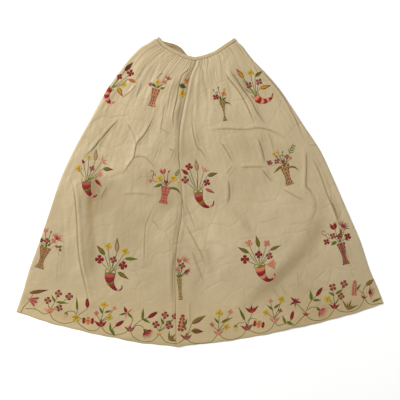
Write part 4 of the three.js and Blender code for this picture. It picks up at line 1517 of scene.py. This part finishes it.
@dataclass
class Stitches:
    """Gathers the worked patches of one width of cloth, each a small grid on the chart."""

    seed: int = 2
    points: list[Array] = field(default_factory=list)
    colours: list[Array] = field(default_factory=list)
    maps: list[Array] = field(default_factory=list)
    quads: list[Array] = field(default_factory=list)
    count: int = 0

    def __post_init__(self) -> None:
        """Starts the seeded numbers that make no two petals quite alike."""
        self.random = np.random.default_rng(self.seed)

    def add(self, x: Array, y: Array, lift: Array, colour: Array, along: Array, beside: Array) -> None:
        """Adds one patch as a closed shell whose underside is in the cloth.

        Args:
            x: chart places, rows by columns.
            y: chart places, rows by columns.
            lift: how far each point stands over the cloth, in millimetres.
            colour: linear colours, rows by columns by 3.
            along: the distance along the stitches' own direction, in chart squares.
            beside: the distance across it.
        """
        down_x, down_y = (grid[1:, :-1] - grid[:-1, :-1] for grid in (x, y))
        over_x, over_y = (grid[:-1, 1:] - grid[:-1, :-1] for grid in (x, y))
        order = slice(None, None, -1 if (down_x * over_y - down_y * over_x).sum() > 0 else 1)
        x, y, lift, colour, along, beside = (grid[:, order] for grid in (x, y, lift, colour, along, beside))
        points, quads = shell(*(np.stack([x, y, z], -1) for z in (lift + PROUD, np.full_like(lift, -SUNK))))
        tint = 1 + self.random.normal(0, 0.03) + self.random.normal(0, 0.015, 3)
        self.points.append(points)
        self.colours.append(np.tile((colour * tint).reshape(-1, 3), (2, 1)))
        self.maps.append(np.tile(np.column_stack([along.ravel(), beside.ravel()]), (2, 1)))
        self.quads.append(quads + self.count)
        self.count += len(points)

    def petal(
        self,
        root: Pair,
        turn: float,
        length: float,
        width: float,
        threads: Sequence[Thread],
        outline: str = "round",
        bend: float = 0.0,
        rise: float = 0.5,
        shade: Shade = Shade.RUN,
        rows: int = 6,
    ) -> None:
        """Works one petal or leaf: an outline's half width on both sides of a line that bends evenly.

        Args:
            root: where it starts on the chart.
            turn: which way it points there, in degrees clockwise from up.
            length: its length, in squares.
            width: its greatest width, in squares.
            threads: its silks.
            outline: the name of its outline.
            bend: how far it turns from root to tip, in degrees.
            rise: how plump it is, in millimetres.
            shade: how its silks follow each other.
            rows: how many rows of points it has.
        """
        s = np.linspace(0, 1, rows)
        v = np.array([-1, -0.6, 0, 0.6, 1.0]) if rows < 8 else np.array([-1, -0.7, -0.5, -0.1, 0.1, 0.5, 0.7, 1.0])
        heading = np.radians(turn + bend * s)
        middle = 0.5 * (heading[1:] + heading[:-1])
        cx = root[0] + np.concatenate([[0], np.cumsum(np.sin(middle))]) * length / (rows - 1)
        cy = root[1] - np.concatenate([[0], np.cumsum(np.cos(middle))]) * length / (rows - 1)
        half = 0.5 * width * np.interp(s, *OUTLINES[outline])
        gx = cx[:, None] + v * (half * np.cos(heading))[:, None]
        gy = cy[:, None] + v * (half * np.sin(heading))[:, None]
        plump = np.clip(half / (0.5 * width), 0, 1)[:, None] ** 0.5
        lift = rise * plump * np.sqrt(np.clip(1 - v**2, 0, 1))[None]
        lights = [thread.light() for thread in threads]
        share, beside = s[:, None, None], v[None, :, None]
        if shade is Shade.HALVES:
            colour = np.where(beside < 0, lights[0], lights[1])
            colour = np.where(np.abs(beside) < 0.3, 0.4 * colour + 0.6 * lights[-1], colour) + 0 * share
            lift = lift - 0.2 * (np.abs(v) < 0.3) * plump
        elif shade is Shade.CORE:
            colour = np.where(np.abs(beside) > 0.6, lights[1], lights[0]) + 0 * share
            tip = smooth_step((share - 0.56) / 0.24)
            colour = colour * (1 - tip) + lights[-1] * tip
        else:
            colour = lights[0] * (1 - share) + lights[-1] * share + 0 * beside
        across = v * half[:, None]
        self.add(gx, gy, lift, colour, np.repeat((s * length)[:, None], len(v), 1) + 0.35 * np.abs(across), across)

    def stem(self, path: Sequence[Pair], thread: Thread, width: float = 0.62) -> None:
        """Works a stem: a narrow round cord of stitches along a smooth line.

        Args:
            path: chart places.
            thread: its silk.
            width: its width, in squares.
        """
        steps = 5 * (len(path) - 1) + 3
        share = np.linspace(0, 1, steps)
        line = curve_through(path)(share)
        ahead = unit(np.gradient(line, axis=0))
        beside = np.array([-1.0, 0.0, 1.0]) * (0.5 * width * (1 - 0.2 * share))[:, None]
        gx, gy = line[:, :1] - ahead[:, 1:] * beside, line[:, 1:] + ahead[:, :1] * beside
        lift = np.repeat(np.array([[0.0, 0.34, 0.0]]), steps, 0)
        run = np.repeat(run_along(line)[:, None], 3, 1)
        self.add(gx, gy, lift, np.tile(thread.light(), (steps, 3, 1)), run, beside)

    def leaf(self, part: Part) -> None:
        """Works a leaf from its root. One that bends far starts turned back, so that its middle stays in place.

        Args:
            part: the leaf.
        """
        length = part.length * (1 + 0.0007 * abs(part.bend))
        turn = part.turn - (0.1 * part.bend if part.bend > 90 else 0)
        shade = Shade.HALVES if part.form is F.LEAF else Shade.CORE
        self.petal(part.root(), turn, length, part.width, part.dye.value, "leaf", part.bend, 0.55, shade, 9)

    def four(self, part: Part) -> None:
        """Works a flower of four petals round an eye, and the lobe at each side where it has them.

        Args:
            part: the flower.
        """
        root, length = np.array(part.root()), part.length
        first, edge, last = part.dye.value
        tilt = part.turn + self.random.uniform(-8, 8)
        for turn in tilt + 90 * np.arange(4):
            reach = length * self.random.uniform(0.94, 1.08)
            self.petal(root + 0.08 * length * towards(turn), turn, reach, 1.02 * length, (edge, first), "blunt")
        for turn in (part.turn - 90, part.turn + 90) if part.form is F.FLANK else ():
            start = root + 0.5 * length * towards(turn)
            self.petal(start, turn, 1.2 * length, 2.0 * length, (T.DARK_RED, T.CRIMSON), "blunt", rise=0.4)
        self.petal(root + (0, 0.24 * length), 0, 0.48 * length, 0.46 * length, (last, last), rise=0.8)

    def flower(self, part: Part) -> None:
        """Works a part: its petals in their places round its middle, or out from its root.

        Args:
            part: what to work.
        """
        turn, length, width = part.turn, part.length, part.width
        first, edge, last = part.dye.value
        root, ahead = np.array(part.root()), towards(turn)
        if part.form in (F.FOUR, F.FLANK):
            self.four(part)
        elif part.form in (F.LEAF, F.CORE):
            self.leaf(part)
        elif part.form is F.STAR:
            for out, size, silk in STAR_PETALS:
                self.petal(root, turn + out, length * size, width, (edge, silk or first), "leaf")
        elif part.form is F.BUD:
            for out in (-15, 15):
                self.petal(root, turn + out, 0.9 * length, 0.55 * width, (edge, edge), "leaf", -1.4 * out)
            self.petal(root, turn, length, 0.62 * width, (first, first, edge), "leaf", 0, 0.7, Shade.CORE, 8)
        elif part.form is F.OBLONG:
            for k in range(5):
                start = root + ahead * (0.08 + 0.21 * k) * length
                for out in (26 * k - 116, 116 - 26 * k):
                    self.petal(start, turn + out, 0.52 * width, 0.26 * length, (last, first), "round")
            self.petal(root, turn, 0.98 * length, 0.34 * width, (T.BUFF, T.PINK), "round", rise=0.8)
        elif part.form is F.SPRIG:
            tip = root + length * ahead
            self.stem((tuple(root), tuple(tip)), edge, 0.4)
            for k in range(4):
                start = root + (tip - root) * (0.15 + 0.24 * k)
                for out in (-42, 42):
                    size = length * (0.5 - 0.07 * k)
                    self.petal(start, turn + out, size, 0.16 * width, (first, first), "leaf", rise=0.35)
        for fan in FANS.get(part.form, ()):
            silks = [part.dye.value[silk] if isinstance(silk, int) else silk for silk in fan.silks]
            for out in fan.turns:
                reach = fan.length * length * self.random.uniform(0.9, 1.05)
                self.petal(root, turn + out, reach, fan.width * width, silks, fan.outline, fan.bend * out)

    def horn(self, horn: Horn) -> None:
        """Works bands across the horn's line, each bowed, and a green cup with two curls at its mouth.

        Args:
            horn: what to work.
        """
        at = np.linspace(0, 1, len(horn.half))
        middle, bands = curve_through(horn.path), len(horn.bands)
        edges = np.linspace(0, 1, bands + 1) ** 0.85
        rows, columns, step = 4, 7, 0.02
        v = np.linspace(-1, 1, columns)
        for k, thread in enumerate(horn.bands):
            share = np.linspace(edges[k], edges[k + 1], rows)[:, None]
            share = np.clip(share + 0.04 * (1 - v**2)[None], 0, 1)
            line = middle(share.ravel()).reshape(rows, columns, 2)
            ends = [middle(np.clip(share + way, 0, 1).ravel()) for way in (step, -step)]
            ahead = unit(ends[0] - ends[1]).reshape(rows, columns, 2)
            half = np.interp(share, at, horn.half) * (1 + 0.16 * np.sin(np.pi * share))
            lift = 0.75 * np.sqrt(1 - v**2) * np.array([[0.5], [1.0], [1.0], [0.5]])
            seam = horn.bands[min(k + 1, bands - 1)].light()
            colour = thread.light() + np.zeros((rows, columns, 3))
            colour[-1] = 0.5 * colour[-1] + 0.5 * seam
            gx, gy = line[..., 0] - ahead[..., 1] * v * half, line[..., 1] + ahead[..., 0] * v * half
            self.add(gx, gy, lift, colour, v * half, share * 20)
        start, inside = middle(np.array([0.0, 0.05]))
        way = inside - start
        turn, wide = np.degrees(np.arctan2(way[0], -way[1])), horn.half[0]
        beside = left_of(unit(way[None]))[0]
        brim, back = start + way * 0.3 - beside * wide, turn + 180
        self.petal(brim, turn + 90, 2 * wide, 0.34 * wide, (T.GREEN, T.GREEN), "slim", rise=0.75)
        for side in (-1, 1):
            corner = start + beside * wide * 0.9 * side + way * 0.25
            self.petal(corner, back - 24 * side, 0.85 * wide, 0.9, (T.GREEN, T.OLIVE), "slim", 80 * side)
            root = start + way * 0.2
            self.petal(root, back + 20 * side, 1.3 * wide, 0.5 * wide, (T.GREEN, T.PALE), "leaf", rise=0.4)

    def vase(self, vase: Vase) -> None:
        """Works a lattice of crossed stitches in a waisted outline, with bound edges.

        Args:
            vase: what to work.
        """
        top, foot = np.array(vase.top), np.array(vase.foot)
        rows, columns = 47, 21
        s, v = np.linspace(0, 1, rows), np.linspace(-1, 1, columns)
        outline = (vase.brim, 0.55 * vase.brim + 0.45 * vase.waist, vase.waist, 1.02 * vase.waist, vase.base)
        half = Curve((0, 0.22, 0.52, 0.76, 1), outline)(s)[:, 0]
        way = foot - top
        run = s[:, None] * np.hypot(*way)
        beside = left_of(unit(way[None]))[0]
        line, across = top + way * s[:, None], v * half[:, None]
        one, two = (run * 0.3 + sign * v[None] * 1.2 for sign in (1, -1))
        lattice = (np.abs(one % 1.0 - 0.5) < 0.17) | (np.abs(two % 1.0 - 0.5) < 0.17)
        fill, other, cross, binding = (thread.light() for thread in vase.threads)
        cell = ((np.floor(one) + np.floor(two)) % 2).astype(bool)[..., None]
        colour = np.where(lattice[..., None], cross, np.where(cell, fill, other))
        bound = (np.abs(v) > 0.9)[None, :] | (np.isin(np.arange(rows), (0, 21, rows - 1)))[:, None]
        colour = np.where(bound[..., None], binding, colour)
        lift = 0.1 + 0.35 * np.sqrt(1 - v**2)[None] + 0.12 * lattice
        self.add(line[:, :1] + across * beside[0], line[:, 1:] + across * beside[1], lift, colour, run + v, across)

    def motif(self, motif: Motif) -> None:
        """Works a whole motif: its stems first, then its flowers and leaves, and what they grow from.

        Args:
            motif: what to work.
        """
        mouth = np.array(motif.mouth)
        for part in motif.parts:
            if part.stem:
                root = np.array(part.root())
                bow = np.array([0.16 * (root[0] - mouth[0]), 0.1 * (root[1] - mouth[1])])
                self.stem((mouth, 0.5 * (mouth + root) + bow, root), T.STEM)
        for thread, path in motif.lines:
            self.stem(path, thread)
        if motif.body:
            {Horn: self.horn, Vase: self.vase, Part: self.flower}[type(motif.body)](motif.body)
        for part in motif.parts:
            self.flower(part)

    def build(self, name: str, width: FrontWidth, motifs: Sequence[Motif], finish: Material) -> Object:
        """Works the motifs of one width of cloth, lays them on it, cut off at its edges, and makes one piece.

        Args:
            name: the piece's name.
            width: the cloth.
            motifs: the motifs, of which those on another width are left out.
            finish: the embroidery silks.

        Returns:
            The piece.
        """
        for motif in motifs:
            if motif.lap is width.lap:
                self.motif(motif)
        places, quads = np.concatenate(self.points), np.concatenate(self.quads)
        across, down = width.patch.inverse(chart(places[:, :2]))
        inside = np.clip(across, 0.001, 0.999)
        side = np.sign(across - inside)[quads]
        kept = quads[~((side != 0).all(1) & (side == side[:, :1]).all(1))]
        xy = width.patch.point(inside, down)
        points = np.column_stack([xy, width.relief(xy, inside, down)[0] + places[:, 2]])
        colours = np.column_stack([np.clip(np.concatenate(self.colours), 0, 1), np.ones(len(points))])
        piece = mesh_object(name, points, kept, finish, np.concatenate(self.maps) * SQUARE * METRES, colours)
        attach(piece, "root")
        return piece


@dataclass
class BackWidth:
    """The cloth behind, of which the inner face shows in the mouth of the waist."""

    name: str = "apron_back"
    node: str = "back_width"
    columns: int = 150
    rows: int = 120
    gathers: Gathers = Gathers(11, 24, 1.1, 0.2, 0.05, 0.12)

    def patch(self) -> Patch:
        """The back's patch, set in from the front's sides and hem so that they turn down round it.

        Returns:
            The patch.
        """
        step = 0.004
        shorter = 1 - BACK_HEM_INSET / LENGTH

        def inset(side: Curve, inward: float) -> Line:
            """A side curve moved square to itself.

            Args:
                side: the curve.
                inward: how far to its left, in millimetres.

            Returns:
                The moved curve.
            """

            def curve(down: Array) -> Array:
                """The moved side at each share of the way down."""
                at = np.asarray(down, dtype=float) * shorter
                ahead = side(np.minimum(1, at + step)) - side(np.maximum(0, at - step))
                return side(at) + left_of(unit(ahead)) * inward

            return curve

        first, second = inset(LEFT_SIDE, BACK_INSET), inset(RIGHT_SIDE, -BACK_INSET)
        one, zero = np.array([1.0]), np.array([0.0])
        middle = FOLD_LINE(np.array([shorter]))[0]
        quarters, hem = (0, 0.25, 0.5, 0.75, 1.0), []
        for side, bow, shares in ((first, HEM_BOW["left"], quarters), (second, HEM_BOW["right"], quarters[-2::-1])):
            for share in shares:
                hem.append(side(one)[0] * (1 - share) + middle * share - (0.0, bow * 4 * share * (1 - share)))
        top = curve_through([first(zero)[0], *BACK_SEAM, second(zero)[0]])
        return Patch(first, second, top, curve_through(hem))

    def build(self, finish: Material) -> Object:
        """Makes the back as a thin closed shell that lies flat on the table.

        Args:
            finish: the inner face of the silk.

        Returns:
            The piece.
        """
        patch = self.patch()
        rows = np.linspace(0, 1, self.rows) ** 1.5
        across, down = (g.ravel() for g in np.meshgrid(np.linspace(0, 1, self.columns), rows))
        xy = patch.point(across, down)
        fade = np.sin(np.pi * np.clip(across, 0, 1)) ** 0.5
        gathers = self.gathers.wave(across, down)
        z = BACK_WALL + 0.2 + fade * np.maximum(0, 0.5 + gathers) * np.exp(-down / 0.05)
        face = np.column_stack([xy, z]).reshape(self.rows, self.columns, 3)
        under = face.copy()
        under[..., 2] = LEAST_HEIGHT
        points, quads = shell(face, under)
        width = patch.length(np.array([1.0]))[0] * METRES
        uv = np.column_stack([across * width, down * LENGTH * METRES])
        shade = 0.5 * np.exp(-down / 0.012) + 0.35 * np.clip(-gathers, 0, 1)
        tint = soil_and_shade_tint(np.tile(np.clip(shade, 0, 1), 2))
        piece = mesh_object(self.name, points, quads, finish, np.concatenate([uv, uv]), tint)
        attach(piece, "root")
        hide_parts(self.node)
        return piece


@dataclass
class Waistband:
    """The narrow band round the waist: one ring of folded silk, pressed flat, front over back."""

    name: str = "waistband"
    width: float = BAND_WIDTH
    thick: float = BAND_THICK
    steps: int = 260
    turn_steps: int = 9
    around: int = 28

    def ring(self) -> tuple[Array, Array, Array]:
        """The ring: along the front seam, over at the right tip, back along the back seam, up at the left tip.

        Returns:
            The middle line, its outward direction and the direction of its thickness, a row for each step.
        """
        back = BackWidth().patch().top
        shares = np.linspace(0, 1, self.steps)

        def stretch(seam: Line, share: Array) -> tuple[Array, Array]:
            """A seam's points and its outward directions."""
            ahead = seam(np.minimum(1, share + 0.01)) - seam(np.maximum(0, share - 0.01))
            return seam(share), left_of(unit(ahead))

        high, low = SEAM_GAP + 1.5 * self.thick, 0.5 * self.thick
        front, front_out = stretch(FRONT_SEAM_CURVE, 0.003 + 0.994 * shares)
        front = front + front_out * (4.0 * np.exp(-shares / 0.05) + 2.0 * np.exp(-(1 - shares) / 0.05))[:, None]
        rear, rear_out = stretch(back, 0.975 - 0.95 * shares)
        turn = np.linspace(0, np.pi, self.turn_steps + 2)[1:-1]

        def tip(first: Array, first_out: Array, last: Array, last_out: Array, start: float) -> tuple[Array, ...]:
            """The half round between two ends of the band.

            Args:
                first: the middle of the end it leaves.
                first_out: that end's way out from the band.
                last: the middle of the end it meets.
                last_out: that end's way out.
                start: 1 or -1, for the side that it bulges to.

            Returns:
                Its middles, its ways out and its ways of the bulge.
            """
            share = smooth_step(np.linspace(0, 1, self.turn_steps + 2)[1:-1])[:, None]
            out = unit(first_out * (1 - share) + last_out * share)
            away = np.column_stack([out[:, 1], -out[:, 0]]) * start
            middle = first * (1 - share) + last * share + away * (2.2 * np.sin(turn))[:, None]
            return middle, out, away

        r_mid, r_out, r_away = tip(front[-1], front_out[-1], rear[0], rear_out[0], 1.0)
        l_mid, l_out, l_away = tip(rear[-1], rear_out[-1], front[0], front_out[0], -1.0)
        level, half = (high + low) / 2, (high - low) / 2 * np.cos(turn)
        z = np.concatenate([np.full(self.steps, high), level + half, np.full(self.steps, low), level - half])
        up = np.zeros((self.steps, 3)) + (0, 0, 1)
        right_up = np.column_stack([r_away * np.sin(turn)[:, None], np.cos(turn)])
        left_up = np.column_stack([l_away * np.sin(turn)[:, None], -np.cos(turn)])
        middle = np.column_stack([np.concatenate([front, r_mid, rear, l_mid]), z])
        outward = np.column_stack([np.concatenate([front_out, r_out, rear_out, l_out]), np.zeros(len(z))])
        return middle, outward, np.concatenate([up, right_up, -up, left_up])

    def build(self, finish: Material) -> Object:
        """Carries the band's section round the ring: a flat oval, plumper at its folded edge.

        Args:
            finish: the band's silk.

        Returns:
            The piece.
        """
        middle, outward, thick = self.ring()
        angle = np.linspace(0, 2 * np.pi, self.around, endpoint=False)
        wide, high = np.cos(angle), np.sin(angle)
        half = 0.5 * self.width
        across = half + SEAM_GAP + (half - SEAM_GAP) * np.sign(wide) * np.abs(wide) ** 0.75
        depth = 0.46 * self.thick * np.sign(high) * np.abs(high) ** 0.5
        run = run_along(middle[:, :2])
        rng = np.random.default_rng(5)
        pucker = sum(
            0.09 * np.cos(2 * np.pi * run / length + phase)
            for length, phase in zip((10.3, 7.7, 23.0, 41.0, 13.0), rng.uniform(0, 6.28, 5))
        )
        seam_side = np.clip(1.1 - across / self.width, 0, 1)
        depth = depth[None] * (1 + 0.9 * pucker[:, None] * seam_side[None])
        edge = across[None] + 0.35 * np.sin(run / 17.0)[:, None] * (across / self.width)[None] ** 2
        points = middle[:, None] + outward[:, None] * edge[..., None] + thick[:, None] * depth[..., None]
        points[..., 2] = np.maximum(points[..., 2], LEAST_HEIGHT)
        steps = len(middle)
        index = np.arange(steps * self.around).reshape(steps, self.around)
        ahead, beside = np.roll(index, -1, 0), np.roll(index, -1, 1)
        quads = np.stack([index, beside, np.roll(ahead, -1, 1), ahead], -1).reshape(-1, 4)
        uv = np.stack([np.repeat(run[:, None], self.around, 1), np.repeat(across[None], steps, 0)], -1) * METRES
        # Painted shade only: darker towards the seam edge, in the puckers' troughs, and all along the back half of the
        # ring, under the front in the mouth of the waist.
        soil_and_shade = np.tile(0.16 * seam_side**3, (steps, 1)) + 0.25 * np.clip(-8 * pucker[:, None], 0, 1) * seam_side
        behind = (np.arange(steps) > self.steps + 3) & (np.arange(steps) < 2 * self.steps + 6)
        soil_and_shade = soil_and_shade + 1.05 * behind[:, None]
        piece = mesh_object(self.name, points.reshape(-1, 3), quads, finish, uv.reshape(-1, 2), soil_and_shade_tint(soil_and_shade.ravel()))
        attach(piece, "root")
        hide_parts("waistband_front", "waistband_back")
        return piece


@dataclass
class Studio:
    """The table, the lamps and the camera."""

    lens: float = 85.0
    sensor: float = 36.0
    view_width: float = 1.32
    middle: Pair = (0.0, -0.0264)
    table_half: float = 9000.0
    table_below: float = 0.2

    def camera(self) -> None:
        """Sets the camera straight above, as far away as its lens needs for the width in view."""
        data = bpy.data.cameras.new("camera")
        data.lens, data.sensor_width = self.lens, self.sensor
        camera = linked("camera", data)
        camera.location = (*self.middle, self.view_width * self.lens / self.sensor + 0.005)
        bpy.context.scene.camera = camera

    def lamp(self, name: str, place: Sequence[float], size: float, power: float, colour: Sequence[float]) -> None:
        """Adds a square soft lamp that points at the apron's middle.

        Args:
            name: the lamp's name.
            place: where it hangs, in metres.
            size: its side, in metres.
            power: its power, in watts.
            colour: its colour.
        """
        data = bpy.data.lights.new(name, "AREA")
        data.size, data.energy, data.color = size, power, colour
        lamp = linked(name, data)
        lamp.location = place
        lamp.rotation_euler = (-Vector(place)).to_track_quat("-Z", "Y").to_euler()

    def build(self) -> None:
        """Makes the table, the lamps, the pale surroundings and the camera."""
        points = np.array([(-1, -1), (1, -1), (1, 1), (-1, 1)]) * self.table_half
        points = np.column_stack([points, np.full(4, -self.table_below)])
        table = mesh_object("table_top", points, np.array([[0, 1, 2, 3]]), FloorFinish().build())
        self.lamp("key_lamp", (-2.1, 1.6, 1.8), 1.0, 112.0, (1.0, 0.985, 0.96))
        self.lamp("fill_lamp", (2.4, -0.6, 2.2), 2.2, 22.0, (0.97, 0.985, 1.0))
        world = bpy.data.worlds.new("surroundings")
        world.use_nodes = True
        light = world.node_tree.nodes["Background"].inputs
        light["Color"].default_value, light["Strength"].default_value = (1.0, 1.0, 1.0, 1.0), 0.55
        scene = bpy.context.scene
        scene.world = world
        scene.view_settings.view_transform, scene.view_settings.look = "Standard", "None"
        self.camera()


RIPPLES = (
    Ripple(21, 46, 11, 60, 0.4, 0.9),
    Ripple(22, 26, 60, 240, 1.8, 0.9),
)


def main() -> None:
    """Builds the apron piece by piece, in the order in which they lie, and reports each."""
    logging.basicConfig(level=logging.INFO, format="%(name)s: %(message)s")
    Studio().build()
    silk, inner, band = SILK.build(), INNER_SILK.build(), BAND_SILK.build()
    gathers = {
        Lap.UNDER: (Gathers(3, 22, 1.35, 0.17, 0.02, 0.09), Gathers(4, 5, 0.7, 0.09, 0.1, 0.3)),
        Lap.OVER: (Gathers(8, 24, 1.4, 0.17, 0.02, 0.1), Gathers(9, 5, 0.7, 0.09, 0.1, 0.3)),
    }
    widths = {
        side: FrontWidth(f"front_{side}", f"front_{side}_width", lap, patch, gathers[lap], RIPPLES)
        for side, lap, patch in (("left", Lap.UNDER, LEFT_PATCH), ("right", Lap.OVER, RIGHT_PATCH))
    }
    floss = ThreadFinish().build()
    pieces = [BackWidth().build(inner), *(width.build(silk) for width in widths.values()), Waistband().build(band)]
    for work, motifs in (("motifs", HORNS_AND_BASKETS), ("border", BORDER)):
        pieces += [Stitches().build(f"{work}_{side}", width, motifs, floss) for side, width in widths.items()]
    for piece in pieces:
        LOG.info("%s: %d faces", piece.name, len(piece.data.polygons))


if __name__ == "__main__":
    main()
